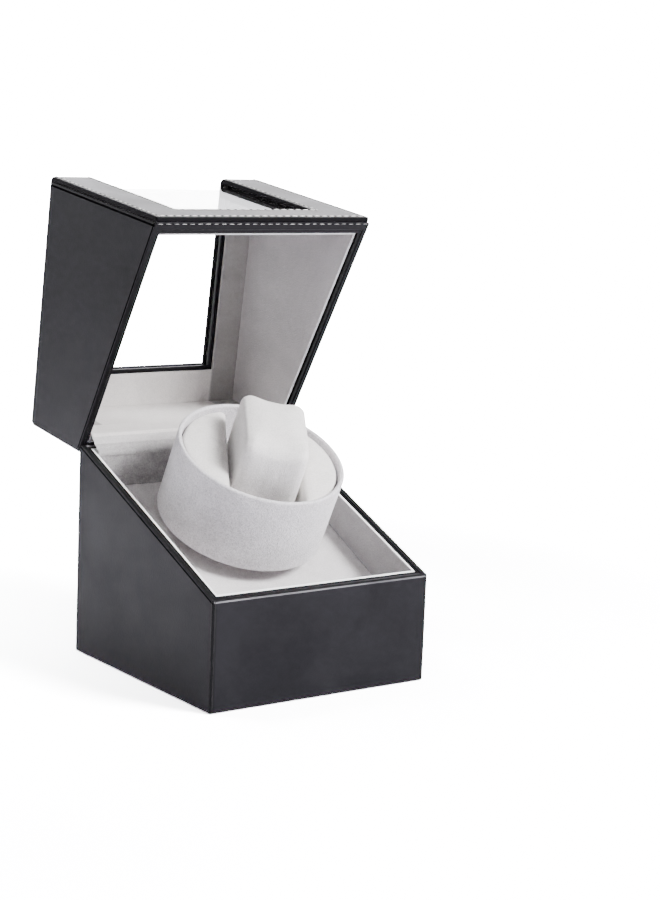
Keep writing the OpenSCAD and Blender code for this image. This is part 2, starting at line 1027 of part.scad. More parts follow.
module pane_shape(o) {
  prism_x(window_w + 2 * pane_lap + 2 * o)
    difference() {
      polygon([
        [yf + leather_t, win_z - pane_lap - o],
        [yf + leather_t + pane_t + o, win_z - pane_lap - o],
        [yf + leather_t + pane_t + o, lid_top_h - leather_t - pane_t - o],
        [win_y + pane_lap + o, lid_top_h - leather_t - pane_t - o],
        [win_y + pane_lap + o, lid_top_h - leather_t],
        [yf + leather_t, lid_top_h - leather_t]
      ]);
      if (o == 0)
        translate([yf + leather_t, lid_top_h - leather_t])
          bent_corner(pane_bend);
    }
}

module window_pane() {
  color("#dfe6ea", 0.35)
    lid_open()
      pane_shape(0);
}

module lid_boards() {
  difference() {
    lid_solid(leather_t);
    lid_hollow();
    window_cut();
    pane_shape(fit);
    leaf_slots(hinge_z, hinge_z + leaf_len + fit);
  }
}

module lid_board(x0, x1, y0, y1, z0, z1) {
  color("#8a6f52")
    lid_open()
      intersection() {
        lid_boards();
        block(x0, x1, y0, y1, z0, z1);
      }
}

module lid_left_board() {
  lid_board(-hw, -hw + wall, yf, yb, 0, far);
}

module lid_right_board() {
  lid_board(hw - wall, hw, yf, yb, 0, far);
}

module lid_back_board() {
  lid_board(-hw + wall, hw - wall, yb - wall, yb, 0, far);
}

module lid_front_board() {
  lid_board(-hw + wall, hw - wall, yf, yf + lid_front, 0, far);
}

module lid_top_board() {
  lid_board(-hw + wall, hw - wall, yf + lid_front, yb - wall, lid_under, far);
}

module lid_leather() {
  color("#46464b")
    lid_open()
      difference() {
        lid_solid(0);
        lid_solid(leather_t);
        lid_hollow();
        window_cut();
        leaf_slots(hinge_z, hinge_z + leaf_len);
      }
}

module stitched_frame() {
  low = rim_z(yf, rim_gap) + trim_set;
  color("#7d7d82")
    lid_open()
      difference() {
        prism_x(body_w - 2 * trim_set)
          difference() {
            polygon([
              [yf - trim_t, low],
              [yf, low],
              [yf, lid_top_h],
              [yb - trim_set, lid_top_h],
              [yb - trim_set, lid_top_h + trim_t],
              [yf - trim_t, lid_top_h + trim_t]
            ]);
            translate([yf - trim_t, lid_top_h + trim_t])
              bent_corner(trim_bend);
          }
        window_cut();
      }
}

module lid_lining(x0, x1, y0, y1, z1) {
  color("#d2cfcc")
    lid_open()
      difference() {
        intersection() {
          block(x0, x1, y0, y1, 0, z1);
          prism_x(body_w)
            polygon([
              [yf, rim_z(yf, rim_gap) + lid_set * rim_sec],
              [yb, rim_z(yb, rim_gap) + lid_set * rim_sec],
              [yb, far],
              [yf, far]
            ]);
        }
        window_cut(window_border);
      }
}

module lining_lid_left() {
  lid_lining(-hw + wall, -hw + lined, yf + lid_front + lining_t, pad_y, lid_under - lining_t);
}

module lining_lid_right() {
  lid_lining(hw - lined, hw - wall, yf + lid_front + lining_t, pad_y, lid_under - lining_t);
}

module lining_lid_front() {
  lid_lining(-hw + wall, hw - wall, yf + lid_front, yf + lid_front + lining_t, lid_under - lining_t);
}

module lining_lid_back() {
  lid_lining(-hw + wall, hw - wall, pad_y, yb - wall, lid_under - lining_t);
}

module lining_lid_top() {
  color("#d2cfcc")
    lid_open()
      difference() {
        block(-hw + wall, hw - wall, yf + lid_front, yb - wall, lid_under - lining_t, lid_under);
        window_cut(window_border);
      }
}

// Hinges

module barrel(x0, x1) {
  translate([x0, 0, 0])
    rotate([0, 90, 0])
      difference() {
        cylinder(r = barrel_r, h = x1 - x0);
        translate([0, 0, -eps])
          cylinder(d = hinge_pin_d + 2 * run_fit, h = x1 - x0 + 2 * eps);
      }
}

module leaf(x0, x1, z0, z1) {
  difference() {
    block(x0, x1, -leaf_t / 2, leaf_t / 2, z0, z1);
    translate([x0 - over, 0, 0])
      rotate([0, 90, 0])
        cylinder(r = barrel_r - leaf_lap, h = x1 - x0 + 2 * over);
  }
}

module hinge_spots() {
  for (s = [-1, 1])
    translate([s * hinge_x, hinge_y, hinge_z])
      children();
}

module hinge_base_leaves() {
  half = hinge_len / 2;
  color("#c9b37a")
    hinge_spots() {
      leaf(-half, half, -leaf_len, -barrel_r - knuckle_gap);
      for (s = [-1, 1])
        translate([s * (half - knuckle / 2), 0, 0]) {
          barrel(-knuckle / 2, knuckle / 2);
          leaf(-knuckle / 2, knuckle / 2, -leaf_len, -barrel_r + leaf_root);
        }
    }
}

module hinge_lid_leaves() {
  half = hinge_len / 2;
  color("#c9b37a")
    lid_open()
      hinge_spots() {
        barrel(-knuckle / 2, knuckle / 2);
        leaf(-knuckle / 2, knuckle / 2, barrel_r - leaf_root, leaf_len);
        leaf(-half, half, barrel_r + knuckle_gap, leaf_len);
      }
}

module hinge_pins() {
  color("#b8a468")
    hinge_spots()
      translate([-hinge_len / 2, 0, 0])
        rotate([0, 90, 0])
          cylinder(d = hinge_pin_d, h = hinge_len);
}

// Velvet flap that bridges the hinge gap, with shallow creases along it

function swung(p) = [
  p[0] * cos(open_angle) + p[1] * sin(open_angle),
  p[1] * cos(open_angle) - p[0] * sin(open_angle)
];

function flap_path() =
  let (
    low = [flap_in, flap_low + flap_over],
    high = swung([flap_in, flap_high - flap_over]),
    slack = [high[1] - low[1], low[0] - high[0]] / norm(high - low)
  )
  concat(
    [[flap_in, flap_low - flap_down], [flap_in, flap_low], low],
    [for (i = [1:9])
      low + (high - low) * i / 10
        + slack * (flap_sag * sin(18 * i) + crease * (i % 2 == 0 ? 1 : -1))],
    [high],
    [for (i = [0:4]) swung([flap_in, flap_high + flap_back * i / 4])]
  );

function flap_side(p, i, h) =
  let (
    a = p[max(i - 1, 0)],
    b = p[min(i + 1, len(p) - 1)],
    d = norm(b - a)
  )
  p[i] + h * [a[1] - b[1], b[0] - a[0]] / d;

module hinge_flap() {
  p = flap_path();
  last = len(p) - 1;
  color("#d6d3d0")
    translate([0, hinge_y, hinge_z])
      prism_x(2 * (hw - lined - air))
        polygon(concat(
          [for (i = [0:last]) flap_side(p, i, flap_t / 2)],
          [for (i = [last:-1:0]) flap_side(p, i, -flap_t / 2)]
        ));
}

// Rear controls

module rear(x, y) {
  translate([x, y, control_z])
    rotate([-90, 0, 0])
      children();
}

module rear_plate() {
  color("#2b2b2e")
    difference() {
      translate([0, yb, control_z])
        rotate([-90, 0, 0])
          linear_extrude(rear_t)
            round_rect(plate_w, plate_h, corner_r);
      rear(-control_x, yb)
        disc(switch_shaft_d + 2 * air, -eps, rear_t + eps);
      rear(control_x, yb)
        disc(jack_nose_d + 2 * fit, -eps, rear_t + eps);
      for (s = [-1, 1])
        rear(s * rear_screw_x, yb)
          disc(rear_screw_d + 2 * fit, -eps, rear_t + eps);
    }
}

module rear_screws() {
  color("#b9b9bd")
    for (s = [-1, 1])
      rear(s * rear_screw_x, yb + rear_t) {
        disc(rear_screw_d, -rear_t - wall - board_off + spacer_floor, eps);
        difference() {
          disc(2 * rear_screw_d, 0, rear_head_t);
          translate([-rear_screw_d, -driver_slot / 2, rear_head_t - driver_slot])
            cube([2 * rear_screw_d, driver_slot, over]);
        }
      }
}

module board_spacers() {
  color("#3a3a3e")
    for (s = [-1, 1])
      rear(s * rear_screw_x, board_y)
        difference() {
          disc(rear_screw_d + 2 * spacer_wall, 0, board_off);
          disc(rear_screw_d + 2 * fit, spacer_floor - air, board_off + eps);
        }
}

module control_board() {
  color("#2f6b45")
    difference() {
      block(-pcb_w / 2, pcb_w / 2, board_y - pcb_t, board_y, control_z - pcb_h / 2, control_z + pcb_h / 2);
      for (s = [-1, 1])
        translate([s * lead_x, board_y, lead_z])
          rotate([90, 0, 0])
            cylinder(d = lead_d + 2 * fit, h = 3 * pcb_t, center = true);
    }
}

module mode_switch() {
  color("#3c3c40")
    rear(-control_x, board_y)
      difference() {
        union() {
          disc(switch_d, 0, switch_len);
          disc(switch_shaft_d + 2 * switch_neck, switch_len - eps, board_off + leather_t);
        }
        disc(switch_shaft_d + 2 * run_fit, switch_floor - air, far / 4);
      }
}

module switch_shaft() {
  color("#c4c6ca")
    rear(-control_x, board_y)
      disc(switch_shaft_d, switch_floor, board_off + wall + rear_t + knob_gap + knob_len - knob_cap);
}

module mode_knob() {
  color("#232326")
    rear(-control_x, yb + rear_t + knob_gap)
      difference() {
        union() {
          disc(knob_d, 0, knob_len);
          disc(knob_d + 2 * knob_skirt, 0, knob_skirt_h);
        }
        disc(switch_shaft_d, -eps, knob_len - knob_cap);
        translate([-pointer_w / 2, -knob_d / 2 - over, knob_len - pointer_deep])
          cube([pointer_w, knob_d / 2 - over, over]);
        for (a = [15:30:345])
          rotate([0, 0, a])
            translate([knob_d / 2 + flute_off, 0, knob_skirt_h + air])
              cylinder(d = flute_d, h = knob_len);
      }
}

module power_jack() {
  color("#1f1f22")
    difference() {
      union() {
        block(control_x - jack_w / 2, control_x + jack_w / 2, board_y, board_y + board_off - air,
          control_z - jack_w / 2, control_z + jack_w / 2);
        rear(control_x, board_y)
          disc(jack_nose_d, jack_root, board_off + wall + rear_t);
      }
      rear(control_x, board_y)
        difference() {
          disc(jack_bore, jack_floor, far / 4);
          disc(jack_pin_d, jack_floor - eps, jack_floor + jack_len - jack_pin_set);
        }
    }
}

// Leads from the control board to the motor

function lead_ring(p, a, b) =
  let (
    d = (b - a) / norm(b - a),
    k = cross(d, [0, 0.8, 0.6]),
    u = k / norm(k),
    v = cross(d, u)
  )
  [for (i = [0:7]) p + lead_d / 2 * (u * cos(45 * i) + v * sin(45 * i))];

module lead(path) {
  last = len(path) - 1;
  loft([for (i = [last:-1:0]) lead_ring(path[i], path[max(i - 1, 0)], path[min(i + 1, last)])]);
}

// Where the motor's terminal tag on side s ends
function tag(s) =
  let (w = lower_w - motor_len - tag_len)
  [
    2 * gear_dist + s * motor_d / 4,
    deck_y - w * sin(deck_tilt),
    deck_z + w * cos(deck_tilt)
  ];

module motor_leads() {
  color("#a02c2c")
    for (s = [-1, 1])
      let (
        drop = s > 0 ? lead_drop : 0,
        start = [s * lead_x, board_y + air, lead_z],
        goal = tag(s)
      )
        lead([
          start,
          start + [0, -5, -drop / 5],
          start + [4, -9 + drop / 3, -1 - drop * 0.7],
          start + [14, -12 + drop / 3, -2.5 - drop],
          goal + [-7, 4 + drop / 2, -8 - drop],
          goal + [-2, 2.5 + drop / 3, -6.5 - drop * 0.7],
          goal + [0, 1.2, -3],
          goal + [0, 0.2, -0.6]
        ]);
}

base_leather();
base_left_board();
base_right_board();
base_front_board();
base_back_board();
base_blocks();
bottom_board();
bottom_screws();
bottom_felt();
lining_base_left();
lining_base_right();
lining_base_front();
lining_base_back();
deck();
deck_cleats();
upper_plate();
lower_plate();
plate_pillars();
plate_screws();
idler_post();
idler_gear();
motor_pinion();
motor();
motor_screws();
output_gear();
spindle();
spindle_bush();
drum_hub();
drum_shell();
hub_screws();
slot_floor();
pad_right();
pad_left();
watch_cushion();
window_pane();
lid_left_board();
lid_right_board();
lid_back_board();
lid_front_board();
lid_top_board();
lid_leather();
stitched_frame();
lining_lid_left();
lining_lid_right();
lining_lid_front();
lining_lid_back();
lining_lid_top();
hinge_base_leaves();
hinge_lid_leaves();
hinge_pins();
hinge_flap();
rear_plate();
rear_screws();
board_spacers();
control_board();
mode_switch();
switch_shaft();
mode_knob();
power_jack();
motor_leads();
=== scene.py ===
# A watch winder box: black leather case, velvet lining, a turning drum and a lid with a bent window.
import json
import math

import bmesh
import bpy
from mathutils import Matrix, Vector


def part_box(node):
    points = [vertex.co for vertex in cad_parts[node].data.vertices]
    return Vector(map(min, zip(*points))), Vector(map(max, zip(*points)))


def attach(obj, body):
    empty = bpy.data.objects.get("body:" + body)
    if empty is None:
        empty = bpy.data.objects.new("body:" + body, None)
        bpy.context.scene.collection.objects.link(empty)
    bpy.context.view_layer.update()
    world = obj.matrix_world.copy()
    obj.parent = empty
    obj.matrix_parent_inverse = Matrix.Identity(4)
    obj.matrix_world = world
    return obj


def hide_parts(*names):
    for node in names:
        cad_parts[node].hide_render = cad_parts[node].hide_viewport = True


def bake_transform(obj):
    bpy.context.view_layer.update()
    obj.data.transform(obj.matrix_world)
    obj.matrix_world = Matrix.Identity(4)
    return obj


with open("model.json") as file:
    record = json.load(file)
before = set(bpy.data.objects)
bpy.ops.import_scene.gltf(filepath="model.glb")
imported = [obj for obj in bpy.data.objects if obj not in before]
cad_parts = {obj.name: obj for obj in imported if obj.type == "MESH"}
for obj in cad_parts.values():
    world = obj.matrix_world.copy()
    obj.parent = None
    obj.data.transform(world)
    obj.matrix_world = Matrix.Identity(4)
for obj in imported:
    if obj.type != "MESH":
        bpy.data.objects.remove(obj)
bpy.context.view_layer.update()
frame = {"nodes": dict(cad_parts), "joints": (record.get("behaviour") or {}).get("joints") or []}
scene = bpy.context.scene
MM = 0.001

# The camera stands to the left of the case, a little above it, with a long lens.
# It is tipped by two degrees, as the picture of the case is.
picture_height = 900
focal_pixels = 2058.7
heading = math.radians(36.157)
looking_down = math.radians(9.503)
camera_roll = math.radians(2.330)
aim = Vector((46.34, -5.5, 116.341)) * MM
camera_distance = 1121.7 * MM
lens = bpy.data.cameras.new("camera")
lens.sensor_width = 36
lens.lens = focal_pixels * lens.sensor_width / picture_height
lens.clip_start = 0.05
turn = Matrix.Rotation(-heading, 4, "Z") @ Matrix.Rotation(math.pi / 2 - looking_down, 4, "X")
sight = turn.to_3x3() @ Vector((0, 0, -1))
camera = bpy.data.objects.new("camera", lens)
camera.matrix_world = (
    Matrix.Translation(aim - sight * camera_distance) @ turn @ Matrix.Rotation(camera_roll, 4, "Z")
)
scene.collection.objects.link(camera)
scene.camera = camera


# The room is a wide white floor that runs out into a white background, with soft boxes above the case.
# What is looked at straight, or through the clear window, is lit whiter than what is mirrored.
def maths(tree, how, a, b):
    """A maths node on two sockets or numbers."""
    node = tree.nodes.new("ShaderNodeMath")
    node.operation = how
    for socket, value in zip(node.inputs, (a, b)):
        if isinstance(value, (int, float)):
            socket.default_value = value
        else:
            tree.links.new(value, socket)
    return node.outputs["Value"]


def spread(tree, value, low, high, to_low, to_high):
    """Map a value from one range to another."""
    node = tree.nodes.new("ShaderNodeMapRange")
    node.interpolation_type = "SMOOTHSTEP"
    tree.links.new(value, node.inputs["Value"])
    for label, number in (("From Min", low), ("From Max", high), ("To Min", to_low), ("To Max", to_high)):
        node.inputs[label].default_value = number
    return node.outputs["Result"]


def tint(tree, mask, dark, light):
    """A colour between two colours or sockets, by a mask."""
    node = tree.nodes.new("ShaderNodeMix")
    node.data_type = "RGBA"
    tree.links.new(mask, node.inputs["Factor"])
    for label, colour in (("A", dark), ("B", light)):
        if isinstance(colour, bpy.types.NodeSocket):
            tree.links.new(colour, node.inputs[label])
        else:
            node.inputs[label].default_value = (*colour, 1)
    return node.outputs["Result"]


def object_place(tree):
    """Coordinates in metres that stay with the object."""
    return tree.nodes.new("ShaderNodeTexCoord").outputs["Object"]


def straight_sight(tree):
    """One where a surface is looked at straight, or through the clear window."""
    return tree.nodes.new("ShaderNodeLightPath").outputs["Is Camera Ray"]


floor_reach = 8
floor_mirrored, floor_seen = (0.80, 0.785, 0.85), (5.5, 5.5, 5.6)
white_begins, white_full = 0.28, 0.9
bare_strength = 30
floor_shape = bmesh.new()
bmesh.ops.create_grid(floor_shape, x_segments=1, y_segments=1, size=floor_reach)
paper = bpy.data.meshes.new("floor")
floor_shape.to_mesh(paper)
floor_shape.free()
floor = bpy.data.objects.new("floor", paper)
scene.collection.objects.link(floor)
floor_paper = bpy.data.materials.new("floor_paper")
floor_paper.use_nodes = True
tree = floor_paper.node_tree
tree.nodes.remove(tree.nodes["Principled BSDF"])
white = tree.nodes.new("ShaderNodeBsdfDiffuse")
tree.links.new(tint(tree, straight_sight(tree), floor_mirrored, floor_seen), white.inputs["Color"])
from_case = tree.nodes.new("ShaderNodeVectorMath")
from_case.operation = "LENGTH"
tree.links.new(object_place(tree), from_case.inputs[0])
far_off = spread(tree, from_case.outputs["Value"], white_begins, white_full, 0, bare_strength)
glow = tree.nodes.new("ShaderNodeEmission")
tree.links.new(maths(tree, "MULTIPLY", far_off, straight_sight(tree)), glow.inputs["Strength"])
lit_floor = tree.nodes.new("ShaderNodeAddShader")
tree.links.new(white.outputs["BSDF"], lit_floor.inputs[0])
tree.links.new(glow.outputs["Emission"], lit_floor.inputs[1])
tree.links.new(lit_floor.outputs["Shader"], tree.nodes["Material Output"].inputs["Surface"])
paper.materials.append(floor_paper)

world = bpy.data.worlds.new("studio")
world.use_nodes = True
tree = world.node_tree
lit_wall = tree.nodes["Background"]
bare_white = tree.nodes.new("ShaderNodeBackground")
bare_white.inputs["Color"].default_value = (1, 1, 1, 1)
bare_white.inputs["Strength"].default_value = bare_strength
skyward = tree.nodes.new("ShaderNodeTexCoord").outputs["Generated"]
height = tree.nodes.new("ShaderNodeSeparateXYZ")
tree.links.new(skyward, height.inputs["Vector"])
behind = tree.nodes.new("ShaderNodeVectorMath")
behind.operation = "DOT_PRODUCT"
tree.links.new(skyward, behind.inputs[0])
behind.inputs[1].default_value = (0.62, 0.78, 0)
wall_light, ceiling_light = 2.4, 0.2
by_height = spread(tree, height.outputs["Z"], 0.30, 0.62, wall_light, ceiling_light)
front_share, back_share = 0.28, 1.6
by_side = spread(tree, behind.outputs["Value"], -0.1, 0.9, front_share, back_share)
tree.links.new(maths(tree, "MULTIPLY", by_height, by_side), lit_wall.inputs["Strength"])
lit_wall.inputs["Color"].default_value = (0.97, 0.96, 1.0, 1)
by_sight = tree.nodes.new("ShaderNodeMixShader")
tree.links.new(straight_sight(tree), by_sight.inputs["Fac"])
tree.links.new(lit_wall.outputs["Background"], by_sight.inputs[1])
tree.links.new(bare_white.outputs["Background"], by_sight.inputs[2])
tree.links.new(by_sight.outputs["Shader"], tree.nodes["World Output"].inputs["Surface"])
scene.world = world


def soft_box(name, place, target, size, power, beam=180):
    """A square studio lamp that faces its target, with its light kept to a beam."""
    lamp = bpy.data.lights.new(name, "AREA")
    lamp.shape = "SQUARE"
    lamp.size = size
    lamp.spread = math.radians(beam)
    lamp.energy = power
    box = bpy.data.objects.new(name, lamp)
    facing = (Vector(target) - Vector(place)).to_track_quat("-Z", "Y")
    box.matrix_world = Matrix.Translation(place) @ facing.to_matrix().to_4x4()
    scene.collection.objects.link(box)


soft_box("key_box", (0.60, -1.05, 1.00), (0, 0, 0.1), 0.5, 75)
soft_box("fill_box", (-0.75, -1.1, 1.35), (0, 0, 0.12), 0.7, 7.5)
soft_box("floor_box", (-0.45, 0.50, 1.00), (-0.35, 0.40, 0), 0.4, 6, 60)


# The case's leather is a black smooth-grained hide, glued over boards and turned over the rim.
# Its folds, rim bands and upright corners are darker with painted shade, a black line of painted shadow runs
# beside the rim, and the front edge carries a lighter painted highlight.
def plain_finish(name, colour, roughness):
    """A material with one shader, and the parts of it that a finish goes on to change."""
    material = bpy.data.materials.new(name)
    material.use_nodes = True
    tree = material.node_tree
    shader = tree.nodes["Principled BSDF"]
    shader.inputs["Base Color"].default_value = (*colour, 1)
    shader.inputs["Roughness"].default_value = roughness
    return material, tree, shader


def group_of(name, inputs, outputs):
    """A node group with named sockets, and its two ends."""
    group = bpy.data.node_groups.new(name, "ShaderNodeTree")
    for label, value in inputs.items():
        socket = group.interface.new_socket(label, in_out="INPUT", socket_type="NodeSocketFloat")
        socket.default_value = value
    for label in outputs:
        group.interface.new_socket(label, in_out="OUTPUT", socket_type="NodeSocketFloat")
    return group, group.nodes.new("NodeGroupInput"), group.nodes.new("NodeGroupOutput")


def noise(tree, scale, detail=2.0, roughness=0.5, distortion=0.0):
    """A noise texture that stays with the object."""
    texture = tree.nodes.new("ShaderNodeTexNoise")
    tree.links.new(object_place(tree), texture.inputs["Vector"])
    if isinstance(scale, (int, float)):
        texture.inputs["Scale"].default_value = scale
    else:
        tree.links.new(scale, texture.inputs["Scale"])
    texture.inputs["Detail"].default_value = detail
    texture.inputs["Roughness"].default_value = roughness
    texture.inputs["Distortion"].default_value = distortion
    return texture.outputs["Fac"]


def bump(tree, shader, height, strength, distance):
    """Raise the surface by a height."""
    node = tree.nodes.new("ShaderNodeBump")
    node.inputs["Strength"].default_value = strength
    node.inputs["Distance"].default_value = distance
    tree.links.new(height, node.inputs["Height"])
    tree.links.new(node.outputs["Normal"], shader.inputs["Normal"])


grain_size = 1100
grain, grain_in, grain_out = group_of("hide_grain", {"Size": grain_size}, ("Height", "Cloud"))
pebbles = grain.nodes.new("ShaderNodeTexVoronoi")
pebbles.feature = "SMOOTH_F1"
pebbles.inputs["Smoothness"].default_value = 0.7
grain.links.new(object_place(grain), pebbles.inputs["Vector"])
grain.links.new(grain_in.outputs["Size"], pebbles.inputs["Scale"])
fine_size = maths(grain, "MULTIPLY", grain_in.outputs["Size"], 2.6)
pores = noise(grain, fine_size, 3, 0.6)
relief = maths(grain, "ADD", pebbles.outputs["Distance"], maths(grain, "MULTIPLY", pores, 0.6))
grain.links.new(relief, grain_out.inputs["Height"])
grain.links.new(noise(grain, 26, 4, 0.6, 0.4), grain_out.inputs["Cloud"])


def leather_finish(name, dark, light, smooth, rough, relief_depth, gloss, size=grain_size):
    """Black grained leather with clouded colour and shine."""
    material, tree, shader = plain_finish(name, dark, rough)
    hide = tree.nodes.new("ShaderNodeGroup")
    hide.node_tree = grain
    hide.inputs["Size"].default_value = size
    mask = spread(tree, hide.outputs["Cloud"], 0.3, 0.7, 0, 1)
    tree.links.new(tint(tree, mask, dark, light), shader.inputs["Base Color"])
    tree.links.new(spread(tree, hide.outputs["Cloud"], 0.3, 0.7, smooth, rough), shader.inputs["Roughness"])
    shader.inputs["Specular IOR Level"].default_value = gloss
    shader.inputs["Specular Tint"].default_value = (0.94, 0.93, 1.0, 1)
    bump(tree, shader, hide.outputs["Height"], 0.3, relief_depth)
    return material


case_leather = leather_finish(
    "case_leather", (0.0050, 0.0048, 0.0058), (0.0090, 0.0087, 0.0104), 0.40, 0.52, 0.00010, 0.125,
)
fold_shade_leather = leather_finish(
    "fold_shade_leather", (0.0022, 0.0021, 0.0025), (0.0045, 0.0044, 0.0050), 0.36, 0.46, 0.00004, 0.13,
)
# A darker leather that paints the shade on the stitched frame's edges.
frame_edge_shade_leather = leather_finish(
    "frame_edge_shade_leather", (0.0022, 0.0021, 0.0025), (0.0045, 0.0044, 0.0050), 0.36, 0.46, 0.00004, 0.04,
)
# A lighter, shinier leather that paints a highlight.
edge_highlight_leather = leather_finish(
    "edge_highlight_leather", (0.055, 0.054, 0.058), (0.13, 0.128, 0.134), 0.34, 0.46, 0.00005, 0.4,
)
# A near-black leather that paints shadow lines and the shadow in stitch holes.
shadow_line_leather = leather_finish(
    "shadow_line_leather", (0.0008, 0.0008, 0.0009), (0.0016, 0.0016, 0.0018), 0.6, 0.7, 0.00004, 0.0,
)


def new_piece(name, shape, body, materials, *nodes, crease=38):
    """Finish a bmesh as an object that rides on a body and stands for CAD nodes."""
    mesh = bpy.data.meshes.new(name)
    shape.to_mesh(mesh)
    shape.free()
    mesh.shade_smooth()
    mesh.set_sharp_from_angle(angle=math.radians(crease))
    for material in materials:
        mesh.materials.append(material)
    piece = bpy.data.objects.new(name, mesh)
    scene.collection.objects.link(piece)
    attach(piece, body)
    if nodes:
        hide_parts(*nodes)
    return piece


def soften(piece, width, segments=3, angle=30):
    """Round a piece's sharp edges."""
    rounding = piece.modifiers.new("rounded_edges", "BEVEL")
    rounding.width = width
    rounding.segments = segments
    rounding.limit_method = "ANGLE"
    rounding.angle_limit = math.radians(angle)
    rounding.profile = 0.5
    rounding.use_clamp_overlap = False


def slab(low, high):
    """A bmesh box between two corners."""
    shape = bmesh.new()
    low, high = Vector(low), Vector(high)
    middle = Matrix.Translation((low + high) / 2)
    bmesh.ops.create_cube(shape, size=1, matrix=middle @ Matrix.Diagonal((*(high - low), 1)))
    return shape


def cut(shape, point, normal, clear=False):
    """Cut a shape along a plane and, where asked, take off what lies on the normal's side."""
    parts = shape.verts[:] + shape.edges[:] + shape.faces[:]
    return bmesh.ops.bisect_plane(
        shape, geom=parts, plane_co=point, plane_no=normal, clear_outer=clear,
    )["geom_cut"]


def sliced(shape, point, normal):
    """Cut off what lies on the normal's side of a plane, and close the cut."""
    rim = [part for part in cut(shape, point, normal, True) if isinstance(part, bmesh.types.BMEdge)]
    return bmesh.ops.holes_fill(shape, edges=rim, sides=0)["faces"]


def carry_edge(shape, edges, **move):
    """Extrude a run of edges by a step, and give back the new edges."""
    new = bmesh.ops.extrude_edge_only(shape, edges=edges)["geom"]
    corners = [part for part in new if isinstance(part, bmesh.types.BMVert)]
    bmesh.ops.translate(shape, verts=corners, **move)
    return [part for part in new if isinstance(part, bmesh.types.BMEdge)]


def banded(shape, faces, width):
    """Mark off a band of the given width round some faces."""
    bmesh.ops.inset_region(shape, faces=faces, thickness=width, use_boundary=True, use_even_offset=True)


def tuck_edge(shape, faces, depth):
    """Open some faces and turn the shape's edge in."""
    bmesh.ops.delete(shape, geom=faces, context="FACES")
    carry_edge(shape, [line for line in shape.edges if line.is_boundary], vec=(0, 0, depth))


def rounded(shape, lines, radius, segments):
    """Round some edges, and give back the new faces."""
    return bmesh.ops.bevel(
        shape, geom=lines, offset=radius, offset_type="OFFSET", segments=segments,
        affect="EDGES", profile=0.5, material=-1,
    )["faces"]


# Material slots of the leather pieces: painted shade in the folds, a painted highlight, and a painted shadow
# line.
fold_shade, edge_highlight, shadow_line = 1, 2, 3


def round_uprights(shape, radius, segments=6):
    """Round a box's upright corners, with painted shade in the fold."""
    tall = 20 * MM
    uprights = [
        line
        for line in shape.edges
        if abs(line.verts[0].co.z - line.verts[1].co.z) > tall
        and (line.verts[0].co.xy - line.verts[1].co.xy).length < MM
    ]
    for face in rounded(shape, uprights, radius, segments):
        face.material_index = fold_shade


def lined(shape, point, normal, near, far, index, walls):
    """Mark a line on some walls, between two depths behind a plane."""
    for depth in (near, far):
        cut(shape, point - normal * depth, normal)
    for face in shape.faces:
        depth = (point - face.calc_center_median()).dot(normal)
        if near < depth < far and any(face.normal.dot(wall) > 0.9 for wall in walls):
            face.material_index = index


left, right, forward, back = Vector((-1, 0, 0)), Vector((1, 0, 0)), Vector((0, -1, 0)), Vector((0, 1, 0))


def corner_fold_shade(shape):
    """Widen the painted shade at a case's upright corners on to the walls beside them."""
    for corner, side, walls in (
        (case_low, left, (forward, back)), (case_high, right, (forward, back)),
        (case_low, forward, (left, right)), (case_high, back, (left, right)),
    ):
        lined(shape, corner, side, corner_radius, shade_band_width, fold_shade, walls)


case_low, case_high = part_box("base_leather")
shade_band_width = 2.4 * MM
line_near, line_far = 0.7 * MM, 1.7 * MM
rim_slope = math.radians(22.8)
front_height = 57.8 * MM
corner_radius = 1.2 * MM
rim_normal = Vector((0, -math.sin(rim_slope), math.cos(rim_slope)))
lid_joint = next(joint for joint in frame["joints"] if joint["name"] == "lid_hinge")
hinge = Vector(lid_joint["pos_m"])
open_angle = math.radians(lid_joint["range_deg"][1])
band = 3.0 * MM
lip_width = 1.8 * MM
lip_drop = 0.55 * MM
lip_corner = 0.8 * MM
lip_round = 0.45 * MM
lip_short = 4 * MM
cover_round = 0.5 * MM
highlight_width = 0.9 * MM
spare_height = 30 * MM
turned_in = 9 * MM
turned_under = 4 * MM
nose_radius = 2.035 * MM
nose_turns = (math.pi / 2 + rim_slope - open_angle / 2, math.pi / 2 + rim_slope - open_angle)
pocket_depth = 0.75 * MM
pocket_inner = 23.7 * MM
pocket_outer = 48.3 * MM


def base_shell(inset, drop, width, corner):
    """The base's outer form drawn in by an inset, with a rim band of the given width."""
    edge_in = Vector((inset, inset, 0))
    shape = slab(case_low + edge_in, case_high + Vector((-inset, -inset, spare_height)))
    rim = sliced(shape, Vector((0, case_low.y, front_height - drop)), rim_normal)
    banded(shape, rim, width)
    tuck_edge(shape, rim, -turned_in)
    sole = [face for face in shape.faces if face.normal.z < -0.99]
    banded(shape, sole, turned_under)
    bmesh.ops.delete(shape, geom=sole, context="FACES")
    round_uprights(shape, corner)
    # The rim band takes painted shade.
    for face in shape.faces:
        if face.normal.dot(rim_normal) > 0.9:
            face.material_index = fold_shade
    return shape


def blunt_back(shape):
    """Take the sharp edge off the base's back rim, where the lid swings over it."""
    for turn_up in nose_turns:
        away = Vector((0, math.cos(turn_up), math.sin(turn_up)))
        for face in sliced(shape, hinge + away * nose_radius, away):
            # The blunted nose takes painted shade.
            face.material_index = fold_shade


def open_pockets(shape):
    """Open the back rim over the two hinge barrels."""
    for x in (-pocket_outer, -pocket_inner, pocket_inner, pocket_outer):
        cut(shape, (x, 0, 0), right)
    pocket_floor = hinge.z - pocket_depth
    cut(shape, (0, 0, pocket_floor), (0, 0, 1))
    over_barrels = []
    for face in shape.faces:
        spot = face.calc_center_median()
        along = pocket_inner < abs(spot.x) < pocket_outer
        if along and spot.y > hinge.y - MM and spot.z > pocket_floor:
            over_barrels.append(face)
    bmesh.ops.delete(shape, geom=over_barrels, context="FACES")


